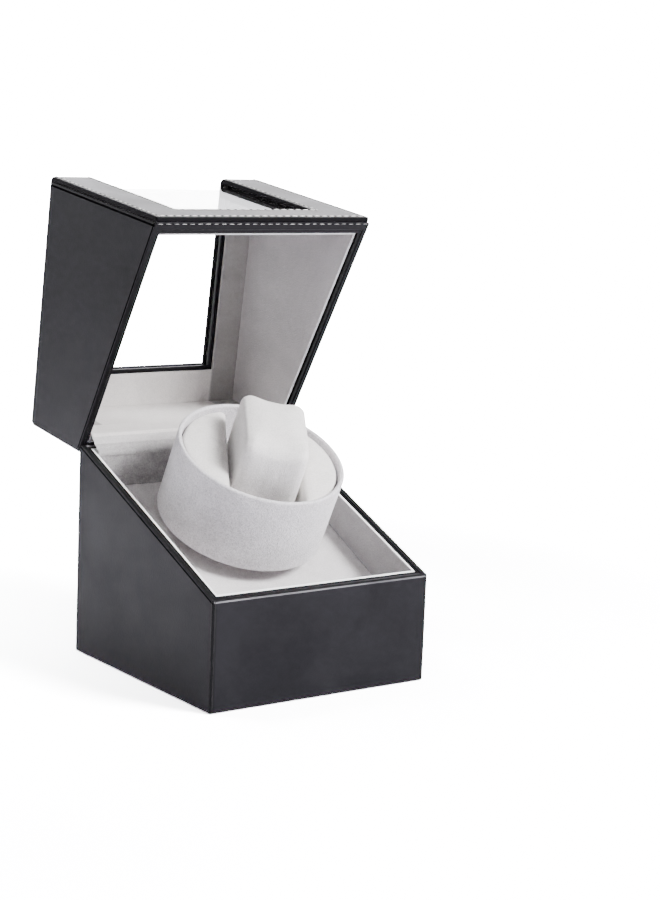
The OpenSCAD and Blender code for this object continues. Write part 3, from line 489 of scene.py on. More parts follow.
shell = base_shell(0, 0, band, corner_radius)
corner_fold_shade(shell)
rim_edge = Vector((0, case_low.y, front_height))
# A black line of painted shadow runs on the side walls just below the rim.
lined(shell, rim_edge, rim_normal, line_near, line_far, shadow_line, (left, right))
# A lighter painted highlight runs along the front wall's top edge.
lined(shell, rim_edge, rim_normal, -MM, highlight_width, edge_highlight, (forward,))
blunt_back(shell)
open_pockets(shell)
leathers = (case_leather, fold_shade_leather, edge_highlight_leather, shadow_line_leather)
base_cover = new_piece("base_cover", shell, "base", leathers, "base_leather")
soften(base_cover, cover_round, 3, 50)
lip = base_shell(band, lip_drop, lip_width, lip_corner)
hidden = [
    face
    for face in lip.faces
    if face.normal.z < -0.99 or face.calc_center_median().y > hinge.y - lip_short
]
bmesh.ops.delete(lip, geom=hidden, context="FACES")
base_lip = new_piece("base_rim_lip", lip, "base", leathers)
soften(base_lip, lip_round)

# Boards of black-dyed wood fibre stand behind the leather, with glued blocks and battens of the same.
# They show only at the hinge gap and from below.
board_paint, tree, shader = plain_finish("fibre_board", (0.02, 0.018, 0.016), 0.8)
fibres = noise(tree, 420, 5, 0.65)
tree.links.new(tint(tree, fibres, (0.012, 0.011, 0.010), (0.028, 0.025, 0.022)), shader.inputs["Base Color"])
bump(tree, shader, fibres, 0.3, 0.0002)
same_spot = 0.01 * MM


def paint_nodes(names, material, width=0, segments=2):
    """Give CAD nodes a finish and, where asked, rounded edges."""
    for name in names:
        node = frame["nodes"][name]
        node.data.materials.clear()
        node.data.materials.append(material)
        if width:
            weld = node.modifiers.new("joined_corners", "WELD")
            weld.merge_threshold = same_spot
            soften(node, width, segments)


boards = [name for name in frame["nodes"] if name.endswith("_board") and name != "control_board"]
paint_nodes(boards + ["base_blocks", "deck_cleats"], board_paint)

# The linings are cards covered in short grey velvet, glued inside the boards, thicker on the back walls.
# A painted white highlight runs along their edges at the rim. The deck is a board in the same velvet.
nap_sizes = {"Patch": 90, "Crinkle": 700, "Fibre": 1500}
nap, nap_in, nap_out = group_of("velvet_nap", nap_sizes, ("Height", "Brushed", "Creased", "Pile"))
brushed = noise(nap, nap_in.outputs["Patch"], 4, 0.62, 0.8)
pile = noise(nap, nap_in.outputs["Fibre"], 2, 0.7)
creased = noise(nap, nap_in.outputs["Crinkle"], 3, 0.6, 1.6)
nap.links.new(maths(nap, "ADD", pile, maths(nap, "MULTIPLY", creased, 1.6)), nap_out.inputs["Height"])
nap.links.new(brushed, nap_out.inputs["Brushed"])
nap.links.new(creased, nap_out.inputs["Creased"])
nap.links.new(pile, nap_out.inputs["Pile"])
rim_highlight_white = (0.95, 0.95, 0.95)
highlight_blur = 0.1 * MM
strip_blur = 2 * MM


def velvet_finish(name, dark, light, patch, lay, crinkle, depth, sheen, rim_highlight=None, shade_strips=None):
    """Short velvet: brushed patches, crinkles and pile, with painted-shade side strips or a painted white
    rim highlight where asked.
    """
    material, tree, shader = plain_finish(name, light, 0.95)
    cloth = tree.nodes.new("ShaderNodeGroup")
    cloth.node_tree = nap
    cloth.inputs["Patch"].default_value = patch
    smooth = spread(tree, cloth.outputs["Brushed"], 0.30, 0.70, 0, lay)
    fold = spread(tree, cloth.outputs["Creased"], 0.32, 0.68, 0, crinkle)
    fuzz = spread(tree, cloth.outputs["Pile"], 0.34, 0.66, 0, 1 - lay - crinkle)
    mask = maths(tree, "ADD", smooth, maths(tree, "ADD", fold, fuzz))
    colour = tint(tree, mask, dark, light)
    # Strips beyond a distance from the middle are darkened with painted shade.
    if shade_strips:
        begin, share = shade_strips
        sides = tree.nodes.new("ShaderNodeSeparateXYZ")
        tree.links.new(object_place(tree), sides.inputs["Vector"])
        from_middle = maths(tree, "ABSOLUTE", sides.outputs["X"], 0)
        strip_shade_mask = spread(tree, from_middle, begin, begin + strip_blur, 0, 1)
        strip_shade_colour = tint(tree, mask, [part * share for part in dark], [part * share for part in light])
        colour = tint(tree, strip_shade_mask, colour, strip_shade_colour)
    # A painted white highlight covers the velvet within a set depth of the rim plane.
    if rim_highlight:
        point, normal, highlight_depth = rim_highlight
        level = tree.nodes.new("ShaderNodeVectorMath")
        level.operation = "DOT_PRODUCT"
        tree.links.new(object_place(tree), level.inputs[0])
        level.inputs[1].default_value = normal
        highlight_from = Vector(point).dot(normal) - highlight_depth
        in_rim_highlight = spread(tree, level.outputs["Value"], highlight_from - highlight_blur, highlight_from + highlight_blur, 0, 1)
        colour = tint(tree, in_rim_highlight, colour, rim_highlight_white)
    tree.links.new(colour, shader.inputs["Base Color"])
    shader.inputs["Sheen Weight"].default_value = sheen
    shader.inputs["Sheen Roughness"].default_value = 0.45
    shader.inputs["Sheen Tint"].default_value = (1, 0.99, 0.98, 1)
    shader.inputs["Specular IOR Level"].default_value = 0.2
    bump(tree, shader, cloth.outputs["Height"], 0.45, depth)
    return material


rim_gap = 0.8 * MM
# Depths of the painted rim highlight on the base and lid linings.
base_highlight_depth, lid_highlight_depth = 1.0 * MM, 2.8 * MM
lid_edge = Vector((0, case_low.y, front_height + rim_gap))
lid_open = Matrix.Translation(hinge) @ Matrix.Rotation(-open_angle, 4, "X") @ Matrix.Translation(-hinge)
base_rim_highlight = (rim_edge, rim_normal, base_highlight_depth)
lid_rim_highlight = (lid_open @ lid_edge, lid_open.to_3x3() @ -rim_normal, lid_highlight_depth)
# The lid's top lining is darkened with painted shade beyond this distance from the middle.
shaded_side_strips = (44 * MM, 0.45)
card_round = 0.3 * MM
grey_dark, grey_light = (0.48, 0.455, 0.445), (0.66, 0.63, 0.615)
base_velvet = velvet_finish("base_velvet", grey_dark, grey_light, 60, 0.35, 0.2, 0.00022, 0.3, base_rim_highlight)
# The base's back lining is darkened with painted shade.
back_shade_velvet = velvet_finish(
    "back_shade_velvet", (0.20, 0.19, 0.195), (0.42, 0.405, 0.41), 75, 0.35, 0.45, 0.0003, 0.15, base_rim_highlight,
)
lid_velvet = velvet_finish(
    "lid_velvet", grey_dark, grey_light, 45, 0.35, 0.2, 0.00022, 0.3, lid_rim_highlight, shaded_side_strips,
)
# The lid's right lining is darkened with painted shade.
lid_side_shade_velvet = velvet_finish(
    "lid_side_shade_velvet", (0.35, 0.335, 0.34), (0.48, 0.46, 0.465), 18, 0.5, 0.15, 0.00022, 0.3, lid_rim_highlight,
)
# The base's right lining is darkened with painted shade.
base_wall_shade_velvet = velvet_finish(
    "base_wall_shade_velvet", (0.28, 0.27, 0.275), (0.39, 0.375, 0.38), 40, 0.35, 0.2, 0.00022, 0.2, base_rim_highlight,
)
deck_velvet = velvet_finish(
    "deck_velvet", (0.47, 0.45, 0.455), (0.67, 0.645, 0.65), 50, 0.35, 0.2, 0.00022, 0.3,
)
in_base = ["lining_base_" + side for side in ("left", "right", "front")]
in_lid = [name for name in frame["nodes"] if name.startswith("lining_lid_")]
paint_nodes(in_base, base_velvet, card_round)
paint_nodes(in_lid, lid_velvet, card_round)
paint_nodes(["lining_base_back"], back_shade_velvet)
# The two right linings take their velvets darkened with painted shade.
for name, velvet in (("lining_base_right", base_wall_shade_velvet), ("lining_lid_right", lid_side_shade_velvet)):
    frame["nodes"][name].data.materials[0] = velvet
paint_nodes(["deck"], deck_velvet)

# The drum is a cup covered in pale velvet, with a soft rolled rim.
# Two D-shaped foam pads fill its sides and leave a slot across it for the cushion.
spin = next(joint for joint in frame["joints"] if joint["name"] == "drum_spin")
axle = Vector(spin["axis"])
tilt = math.atan2(-axle.y, axle.z)
on_deck = Matrix.Translation(spin["pos_m"]) @ Matrix.Rotation(tilt, 4, "X")
slot_turn = math.radians(27.5)
slot_shift = 2.6 * MM
in_drum = on_deck @ Matrix.Rotation(-slot_turn, 4, "Z")
drum_radius = 46.0 * MM
drum_bottom = 8.4 * MM
drum_height = 44.8 * MM
drum_rim = drum_bottom + drum_height
drum_velvet = velvet_finish(
    "drum_velvet", (0.40, 0.385, 0.405), (0.78, 0.755, 0.78), 55, 0.20, 0.50, 0.0007, 0.45,
)
pad_velvet = velvet_finish(
    "pad_velvet", (0.56, 0.54, 0.525), (0.82, 0.795, 0.775), 70, 0.25, 0.25, 0.00025, 0.45,
)


def arc(centre, radius, start, end, steps):
    """Points of an arc in the X-Z plane, between two angles in degrees."""
    angles = [math.radians(start + (end - start) * step / steps) for step in range(steps + 1)]
    return [Vector((centre[0] + radius * math.cos(a), 0, centre[1] + radius * math.sin(a))) for a in angles]


def lathed(points, segments=128):
    """Spin an outline in the X-Z plane round Z."""
    shape = bmesh.new()
    corners = [shape.verts.new(point) for point in points]
    outline = [shape.edges.new(pair) for pair in zip(corners, corners[1:])]
    bmesh.ops.spin(
        shape, geom=corners + outline, axis=(0, 0, 1), cent=(0, 0, 0),
        angle=2 * math.pi, steps=segments, use_merge=True,
    )
    bmesh.ops.remove_doubles(shape, verts=shape.verts, dist=same_spot)
    bmesh.ops.recalc_face_normals(shape, faces=shape.faces)
    return shape


rim_roll = 1.2 * MM
foot_roll = 1.2 * MM
rim_turn = 4 * MM
cup_floor = drum_bottom + 2.5 * MM
inner_radius = drum_radius - 2.8 * MM
cup_outline = (
    [Vector((0, 0, drum_bottom))]
    + arc((drum_radius - foot_roll, drum_bottom + foot_roll), foot_roll, -90, 0, 6)
    + [Vector((drum_radius, 0, drum_bottom + drum_height * step / 4)) for step in (1, 2, 3)]
    + arc((drum_radius - rim_roll, drum_rim - rim_roll), rim_roll, 0, 200, 12)
    + [Vector((inner_radius, 0, drum_rim - rim_turn))]
    + [Vector((inner_radius, 0, cup_floor)), Vector((0, 0, cup_floor))]
)
cup = lathed(cup_outline)
bmesh.ops.transform(cup, matrix=in_drum, verts=cup.verts)
drum_cup = new_piece("drum_cup", cup, "drum", [drum_velvet], "drum_shell")
paint_nodes(["slot_floor"], drum_velvet)

slot_width = 39 * MM
pad_gap = 0.5 * MM
pad_top = drum_rim - 1.9 * MM
pad_bottom = pad_top - 30 * MM
pad_radius = inner_radius - pad_gap
pad_chord = slot_width / 2 + pad_gap
pad_end_round = 1.6 * MM
pad_top_round = 2 * MM
pad_free = 4.5 * MM
slot_roll = 6 * MM
slot_sink = 1.4 * MM
sink_height = 8 * MM
swell_frames = 20
hair = 0.1 * MM


def puffed(shape, voxel, pressure, held, reach):
    """Swell a closed form as foam swells its cover: cloth under pressure, still where it is held."""
    mesh = bpy.data.meshes.new("cover")
    shape.to_mesh(mesh)
    shape.free()
    cover = bpy.data.objects.new("cover", mesh)
    scene.collection.objects.link(cover)
    even = cover.modifiers.new("even_mesh", "REMESH")
    even.mode = "VOXEL"
    even.voxel_size = voxel
    seen = cover.evaluated_get(bpy.context.evaluated_depsgraph_get())
    start = bpy.data.meshes.new_from_object(seen)
    cover.modifiers.clear()
    cover.data = start
    before = [corner.co.copy() for corner in start.vertices]
    after = before
    pinned = cover.vertex_groups.new(name="held")
    for corner in start.vertices:
        if held(corner.co):
            pinned.add([corner.index], 1, "REPLACE")
    cloth = cover.modifiers.new("swelling", "CLOTH")
    cloth.settings.use_pressure = True
    cloth.settings.uniform_pressure_force = pressure
    cloth.settings.effector_weights.gravity = 0
    cloth.settings.vertex_group_mass = "held"
    cloth.point_cache.frame_start = 1
    cloth.point_cache.frame_end = swell_frames
    for step in range(1, swell_frames + 1):
        scene.frame_set(step)
    seen = cover.evaluated_get(bpy.context.evaluated_depsgraph_get())
    after = [corner.co.copy() for corner in seen.data.vertices]
    scene.frame_set(1)
    swollen = bmesh.new()
    swollen.from_mesh(start)
    for corner, old, new in zip(swollen.verts, before, after):
        move = new - old
        if move.length > reach:
            move *= reach / move.length
        corner.co = old + move
    bmesh.ops.smooth_vert(
        swollen, verts=swollen.verts, factor=0.5, use_axis_x=True, use_axis_y=True, use_axis_z=True,
    )
    bpy.data.objects.remove(cover)
    return swollen


def fill_out(piece):
    """Finish a swollen piece with one smooth subdivision."""
    finer = piece.modifiers.new("smooth_cover", "SUBSURF")
    finer.levels = 1
    finer.render_levels = 1


def pad_form(side):
    """One D-shaped pad: a half disc beyond the slot, with rounded ends and a rounded top edge."""
    shape = bmesh.new()
    bmesh.ops.create_circle(shape, cap_ends=True, radius=pad_radius, segments=96)
    chord = slot_shift + side * pad_chord
    cut(shape, (chord, 0, 0), (-side, 0, 0), True)
    rise = bmesh.ops.extrude_face_region(shape, geom=shape.faces[:])["geom"]
    tops = [part for part in rise if isinstance(part, bmesh.types.BMVert)]
    bmesh.ops.translate(shape, verts=tops, vec=(0, 0, pad_top - pad_bottom))
    bmesh.ops.translate(shape, verts=shape.verts, vec=(0, 0, pad_bottom))
    bmesh.ops.recalc_face_normals(shape, faces=shape.faces)
    ends = [
        line for line in shape.edges
        if abs(line.verts[0].co.z - line.verts[1].co.z) > MM and abs(line.verts[0].co.x - chord) < hair
    ]
    rounded(shape, ends, pad_end_round, 4)
    crown = [line for line in shape.edges if all(v.co.z > pad_top - hair for v in line.verts)]
    rounded(shape, crown, pad_top_round, 5)
    return shape


def pad_held(place):
    """A pad's cover is glued below its top."""
    return place.z < pad_top - pad_free


for name, side in (("pad_left", -1), ("pad_right", 1)):
    foam = puffed(pad_form(side), voxel=1.5 * MM, pressure=4, held=pad_held, reach=1.3 * MM)
    for corner in foam.verts:
        off_slot = (abs(corner.co.x - slot_shift) - pad_chord) / slot_roll
        rise = (corner.co.z - (pad_top - sink_height)) / sink_height
        if rise > 0 and off_slot < 1:
            corner.co.z -= slot_sink * (1 - max(off_slot, 0)) ** 2 * min(rise, 1)
    bmesh.ops.transform(foam, matrix=in_drum, verts=foam.verts)
    pad = new_piece("drum_" + name, foam, "drum", [pad_velvet], name, crease=180)
    fill_out(pad)

# The watch cushion is a soft roll of foam in velvet, pushed into the slot.
# Its cover is sewn round both ends, and a strap's channel is drawn in round its middle.
cushion_velvet = velvet_finish(
    "cushion_velvet", (0.56, 0.54, 0.53), (0.82, 0.795, 0.78), 70, 0.25, 0.25, 0.00025, 0.45,
)
cushion_middle = drum_rim + 0.3 * MM
cushion_half = 17.6 * MM
cushion_depth = 27.0 * MM
cushion_rise = 20.2 * MM
cushion_round = 8 * MM
end_roll = 4.6 * MM
sewn_edge = 0.9 * MM
seam_at = 15.2 * MM
seam_width = 0.9 * MM
seam_depth = 0.35 * MM
puckers = 46
soft = slab((-cushion_half, -cushion_depth, -cushion_rise), (cushion_half, cushion_depth, cushion_rise))
lengths = [line for line in soft.edges if abs(line.verts[0].co.x - line.verts[1].co.x) > MM]
rounded(soft, lengths, cushion_round, 7)
ends = [line for line in soft.edges if abs(line.verts[0].co.x - line.verts[1].co.x) < same_spot]
rounded(soft, ends, end_roll, 5)
# Each stop is a distance from the middle in millimetres, and the share of the girth that is left there.
channel = ((0, 0.968), (4, 0.970), (7, 0.980), (9.5, 0.993), (11.5, 1.0))
for place, girth in channel[1:]:
    for side in (-1, 1):
        cut(soft, (side * place * MM, 0, 0), right)
for corner in soft.verts:
    girth = min(channel, key=lambda stop: abs(abs(corner.co.x) / MM - stop[0]))[1]
    corner.co.y *= girth
    corner.co.z *= girth


def cushion_held(place):
    """The cushion's cover is sewn at the edge of each end."""
    at_end = abs(place.x) > cushion_half - sewn_edge
    return at_end and max(abs(place.y) * 0.75, abs(place.z)) > cushion_rise * 0.88


cushion_foam = puffed(soft, voxel=1.3 * MM, pressure=3, held=cushion_held, reach=1.4 * MM)
for corner in cushion_foam.verts:
    off_seam = (abs(corner.co.x) - seam_at) / seam_width
    pucker = 0.75 + 0.25 * math.sin(math.atan2(corner.co.z, corner.co.y) * puckers)
    drawn = seam_depth * pucker * math.exp(-off_seam * off_seam)
    outward = Vector((0, corner.co.y, corner.co.z)).normalized()
    corner.co -= outward * drawn
bmesh.ops.translate(cushion_foam, verts=cushion_foam.verts, vec=(slot_shift, 0, cushion_middle))
bmesh.ops.transform(cushion_foam, matrix=in_drum, verts=cushion_foam.verts)
cushion = new_piece("cushion", cushion_foam, "cushion", [cushion_velvet], "watch_cushion", crease=180)
fill_out(cushion)

# The lid's leather is cut and turned in as the base's is, and swings on hinges in the back wall.
# It is drawn shut here and then turned back to where the open lid rests.
lid_top = 170 * MM
side_wall = 4.8 * MM
front_wall = 6.4 * MM
below_rim = 10 * MM
lip_depth = 10 * MM


def lid_shell(inset, drop, width, front_extra, corner):
    """The shut lid's outer form drawn in by an inset, with a rim band of the given width."""
    low = Vector((case_low.x + inset, case_low.y + inset, front_height - below_rim))
    high = Vector((case_high.x - inset, case_high.y - inset, lid_top - inset))
    shape = slab(low, high)
    rim = sliced(shape, Vector((0, case_low.y, front_height + rim_gap + drop)), -rim_normal)
    banded(shape, rim, width)
    front_inner = [v for v in rim[0].verts if v.co.y < 0]
    slide = Vector((0, 1, math.tan(rim_slope))) * front_extra
    bmesh.ops.translate(shape, verts=front_inner, vec=slide)
    tuck_edge(shape, rim, turned_in)
    round_uprights(shape, corner)
    # The rim band takes painted shade.
    for face in shape.faces:
        if face.normal.dot(rim_normal) < -0.9:
            face.material_index = fold_shade
    return shape


window_half = 43 * MM
window_low = front_height + rim_gap + 22.0 * MM
window_back = case_high.y - 31.2 * MM


def cut_window(shape):
    """Open the window in the front and top of a lid form."""
    for point, normal in (
        ((window_half, 0, 0), (1, 0, 0)),
        ((-window_half, 0, 0), (1, 0, 0)),
        ((0, 0, window_low), (0, 0, 1)),
        ((0, window_back, 0), (0, 1, 0)),
    ):
        cut(shape, point, normal)
    panes = []
    for face in shape.faces:
        spot = face.calc_center_median()
        on_front = face.normal.y < -0.9 and spot.z > window_low
        on_top = face.normal.z > 0.9 and spot.y < window_back
        if abs(spot.x) < window_half and (on_front or on_top):
            panes.append(face)
    bmesh.ops.delete(shape, geom=panes, context="FACES")


lid_form = lid_shell(0, 0, band, front_wall - side_wall, corner_radius)
# A black line of painted shadow runs on the lid's side walls just above the rim.
lined(lid_form, lid_edge, -rim_normal, line_near, line_far, shadow_line, (left, right))
past_corner = corner_radius + 0.05 * MM
# A second line of painted shadow runs on the side walls just behind the front edge.
lined(lid_form, lid_edge, forward, past_corner, shade_band_width, shadow_line, (left, right))
# A band of painted shade runs along the lid's back corners.
lined(lid_form, case_high, back, past_corner, shade_band_width, fold_shade, (left, right))
cut_window(lid_form)
bmesh.ops.transform(lid_form, matrix=lid_open, verts=lid_form.verts)
lid_cover = new_piece("lid_cover", lid_form, "lid", leathers, "lid_leather")
soften(lid_cover, cover_round, 3, 50)
inner_form = lid_shell(band, lip_drop, lip_width, front_wall - side_wall, lip_corner)
cut(inner_form, lid_edge + rim_normal * lip_depth, rim_normal, True)
bmesh.ops.transform(inner_form, matrix=lid_open, verts=inner_form.verts)
lid_lip = new_piece("lid_rim_lip", inner_form, "lid", leathers)
soften(lid_lip, lip_round)

# The window's edge inside is bound in the same leather, from the pane round to a narrow border.
# The linings stop at that border.
border = 2.2 * MM
binding_thick = 0.5 * MM
binding_round = 0.2 * MM
reveal_front = 3.6 * MM
reveal_top = 2.0 * MM
inside_front = case_low.y + front_wall - hair
inside_top = lid_top - side_wall + hair
bound = bmesh.new()
binding_line = (
    (inside_front, window_low - border), (inside_front, window_low), (inside_front, inside_top),
    (window_back, inside_top), (window_back + border, inside_top),
)
stations = [bound.verts.new((-window_half - border, y, z)) for y, z in binding_line]
side_edge = [bound.edges.new(pair) for pair in zip(stations, stations[1:])]
for width in (border, 2 * window_half, border):
    side_edge = carry_edge(bound, side_edge, vec=(width, 0, 0))
open_part = []
for face in bound.faces:
    spot = face.calc_center_median()
    if abs(spot.x) < window_half and spot.z > window_low and spot.y < window_back:
        open_part.append(face)
bmesh.ops.delete(bound, geom=open_part, context="FACES")
at_window = [
    line
    for line in bound.edges
    if line.is_boundary and all(abs(v.co.x) < window_half + hair for v in line.verts)
    and all(v.co.z > window_low - hair and v.co.y < window_back + hair for v in line.verts)
]
reveal = bmesh.ops.extrude_edge_only(bound, edges=at_window)["geom"]
for part in reveal:
    if isinstance(part, bmesh.types.BMVert):
        if part.co.y < inside_front + MM:
            part.co.y -= reveal_front
        if part.co.z > inside_top - MM:
            part.co.z += reveal_top
bmesh.ops.recalc_face_normals(bound, faces=bound.faces)
bmesh.ops.transform(bound, matrix=lid_open, verts=bound.verts)
# The binding takes the fold leather, darkened with painted shade.
binding = new_piece("window_binding", bound, "lid", [fold_shade_leather])
thick = binding.modifiers.new("leather_thickness", "SOLIDIFY")
thick.thickness = binding_thick
thick.offset = 0
soften(binding, binding_round, 2)

# The bent window is clear acrylic, held under the stitched frame.
# It is clear where it is looked through, and mirrors the room where it is seen along its surface.
acrylic, tree, shader = plain_finish("clear_acrylic", (0.90, 0.92, 0.92), 0.03)
edge_on = tree.nodes.new("ShaderNodeLayerWeight")
edge_on.inputs["Blend"].default_value = 0.5
clear_alpha, grazing_alpha = 0.02, 0.45
alpha = spread(tree, edge_on.outputs["Facing"], 0.45, 0.80, clear_alpha, grazing_alpha)
tree.links.new(alpha, shader.inputs["Alpha"])
shader.inputs["Metallic"].default_value = 1.0


def worn(tree, shader, scale, detail, smooth, rough):
    """Vary a finish's shine with a noise."""
    wear = spread(tree, noise(tree, scale, detail), 0.3, 0.7, smooth, rough)
    tree.links.new(wear, shader.inputs["Roughness"])


worn(tree, shader, 60, 3, 0.01, 0.04)
paint_nodes(["window_pane"], acrylic)

# The stitched frame is a thin board in a shinier black leather, bent over the lid's front edge.
# Light thread is sewn along its outer edges, round the window and along the rim, with black slanted discs
# that paint the shadow in the needle holes.
frame_leather = leather_finish(
    "frame_leather", (0.034, 0.033, 0.031), (0.075, 0.073, 0.069), 0.32, 0.42, 0.0003, 1.0, 620,
)
frame_thick = 3 * MM
frame_set = 0.7 * MM
frame_bend = 3.5 * MM
frame_round = 0.8 * MM
frame_half = (case_high.x - case_low.x) / 2 - frame_set
frame_low = front_height + rim_gap + frame_set
frame_front = case_low.y - frame_thick
frame_top = lid_top + frame_thick
frame_back = case_high.y - frame_set
bend = arc((frame_front + frame_bend, frame_top - frame_bend), frame_bend, 180, 90, 8)
frame_path = (
    [Vector((0, frame_front, frame_low)), Vector((0, frame_front, window_low))]
    + [Vector((0, point.x, point.z)) for point in bend]
    + [Vector((0, window_back, frame_top)), Vector((0, frame_back, frame_top))]
)
panel = bmesh.new()
stations = [panel.verts.new(point + Vector((-frame_half, 0, 0))) for point in frame_path]
side_edge = [panel.edges.new(pair) for pair in zip(stations, stations[1:])]
for width in (frame_half - window_half, 2 * window_half, frame_half - window_half):
    side_edge = carry_edge(panel, side_edge, vec=(width, 0, 0))
glazed = []
for face in panel.faces:
    spot = face.calc_center_median()
    if abs(spot.x) < window_half and spot.z > window_low and spot.y < window_back:
        glazed.append(face)
bmesh.ops.delete(panel, geom=glazed, context="FACES")
bmesh.ops.recalc_face_normals(panel, faces=panel.faces)
if max(panel.faces, key=lambda face: face.calc_center_median().y).normal.z < 0:
    bmesh.ops.reverse_faces(panel, faces=panel.faces)
bmesh.ops.solidify(panel, geom=panel.faces[:], thickness=frame_thick)
bmesh.ops.recalc_face_normals(panel, faces=panel.faces)
# The frame's side, foot, back and top edges take a darker leather that paints the shade along them.
for face in panel.faces:
    spot = face.calc_center_median()
    foot_edge = face.normal.z < -0.9 and spot.z < window_low + MM
    back_edge = face.normal.y > 0.9 and spot.y > window_back - MM
    top_edge = face.normal.z > 0.9 and spot.y < frame_front + frame_thick
    if abs(face.normal.x) > 0.9 or foot_edge or back_edge or top_edge:
        face.material_index = fold_shade
bmesh.ops.transform(panel, matrix=lid_open, verts=panel.verts)
stitched = new_piece("stitched_panel", panel, "lid", [frame_leather, frame_edge_shade_leather], "stitched_frame")
soften(stitched, frame_round, 4, 40)

thread, tree, shader = plain_finish("light_thread", (0.78, 0.77, 0.75), 0.7)
ply = noise(tree, 2400, 2, 0.6)
tree.links.new(tint(tree, ply, (0.66, 0.65, 0.63), (0.88, 0.87, 0.85)), shader.inputs["Base Color"])
bump(tree, shader, ply, 0.5, 0.0001)
stitch_pitch = 4.8 * MM
stitch_length = 3.0 * MM
thread_radius = 0.42 * MM
seam_in = 2.0 * MM
hole_radius = 0.6 * MM
hole_reach = 1.7
hole_slant = math.radians(35)
hole_lift = 0.06 * MM
rim_thread = 0.22
rim_seam_in = 0.9 * MM


def bent_point(along, x):
    """A point, its run and its normal on the frame's face, at a distance along its outer line."""
    for start, end in zip(frame_path, frame_path[1:]):
        step = end - start
        run = step.normalized()
        if along <= step.length:
            break
        along -= step.length
    return start + run * along + Vector((x, 0, 0)), run, Vector((0, -run.z, run.y))


runs = [(end - start).length for start, end in zip(frame_path, frame_path[1:])]
foot_run = runs[0]
back_run = sum(runs[:-1])
full_run = sum(runs)
places = []
for x, begin, end in (
    (frame_half - seam_in, seam_in, full_run - seam_in),
    (window_half + seam_in, foot_run - seam_in, back_run + seam_in),
):
    count = round((end - begin) / stitch_pitch)
    for step in range(count + 1):
        for side in (-1, 1):
            places.append(bent_point(begin + (end - begin) * step / count, side * x))
for along, half in (
    (seam_in, frame_half - seam_in),
    (foot_run - seam_in, window_half + seam_in),
    (back_run + seam_in, window_half + seam_in),
    (full_run - seam_in, frame_half - seam_in),
):
    count = round(2 * half / stitch_pitch)
    for step in range(count):
        centre, run, normal = bent_point(along, half * ((2 * step + 1) / count - 1))
        places.append((centre, Vector((1, 0, 0)), normal))
along_rim = Vector((0, math.cos(rim_slope), math.sin(rim_slope)))
rim_seam = lid_edge + along_rim * rim_seam_in
count = round(2 * frame_half / stitch_pitch)
for step in range(count):
    offset = frame_half * ((2 * step + 1) / count - 1)
    places.append((rim_seam + Vector((offset, 0, 0)), Vector((1, 0, 0)), -rim_normal * rim_thread))
one_stitch = bmesh.new()
bmesh.ops.create_uvsphere(
    one_stitch, u_segments=6, v_segments=5, radius=1,
    matrix=Matrix.Diagonal((thread_radius, thread_radius * 0.8, stitch_length / 2, 1)),
)
# A black slanted disc beside each stitch paints the shadow in its needle hole.
hole_shadow = bmesh.ops.create_circle(
    one_stitch, cap_ends=True, radius=hole_radius, segments=8,
    matrix=Matrix.Translation((0, hole_lift, stitch_pitch / 2)) @ Matrix.Rotation(hole_slant, 4, "Y")
    @ Matrix.Rotation(-math.pi / 2, 4, "X") @ Matrix.Diagonal((hole_reach, 1, 1, 1)),
)
for face in hole_shadow["verts"][0].link_faces:
    face.material_index = 1
stitch = bpy.data.meshes.new("stitch")
one_stitch.to_mesh(stitch)
one_stitch.free()
sewing = bmesh.new()
for centre, run, normal in places:
    earlier = len(sewing.verts)
    sewing.from_mesh(stitch)
    sewing.verts.ensure_lookup_table()
    turned = Matrix((run.cross(normal), normal, run)).transposed().to_4x4()
    bmesh.ops.transform(
        sewing, matrix=lid_open @ Matrix.Translation(centre) @ turned, verts=sewing.verts[earlier:],
    )
stitches = new_piece("frame_stitches", sewing, "lid", [thread, shadow_line_leather])

# The velvet flap is a strip of lining cloth that bridges the hinges inside the case.
# It is glued to both back linings; the slack across the joint lies in shallow creases with painted shade.
# Its sizes are in millimetres from the hinge.
flap_start, flap_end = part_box("hinge_flap")
flap_velvet = velvet_finish("flap_velvet", grey_dark, grey_light, 80, 0.4, 0.3, 0.00025, 0.35)
slack_shade_velvet = velvet_finish(
    "slack_shade_velvet", (0.36, 0.345, 0.345), (0.52, 0.50, 0.50), 80, 0.3, 0.45, 0.0003, 0.2,
)
joint_shade_velvet = velvet_finish(
    "joint_shade_velvet", (0.25, 0.24, 0.24), (0.44, 0.425, 0.43), 75, 0.3, 0.45, 0.0003, 0.15,
)
flap_reach = -7.9
flap_low = -1.78
flap_high = 2.28
flap_over = 0.9
flap_sag = 0.8
flap_glued = 1.2
flap_on_lid = 14
crease_depth = 0.28
creases = 7
slack_steps = 20
lid_steps = 4
slack_shade_share, lining_shade_share = 0.85, 0.5


def swung(y, z):
    """A point of the shut lid, from the hinge, where the open lid carries it."""
    over = y * math.cos(open_angle) + z * math.sin(open_angle)
    return over, z * math.cos(open_angle) - y * math.sin(open_angle)


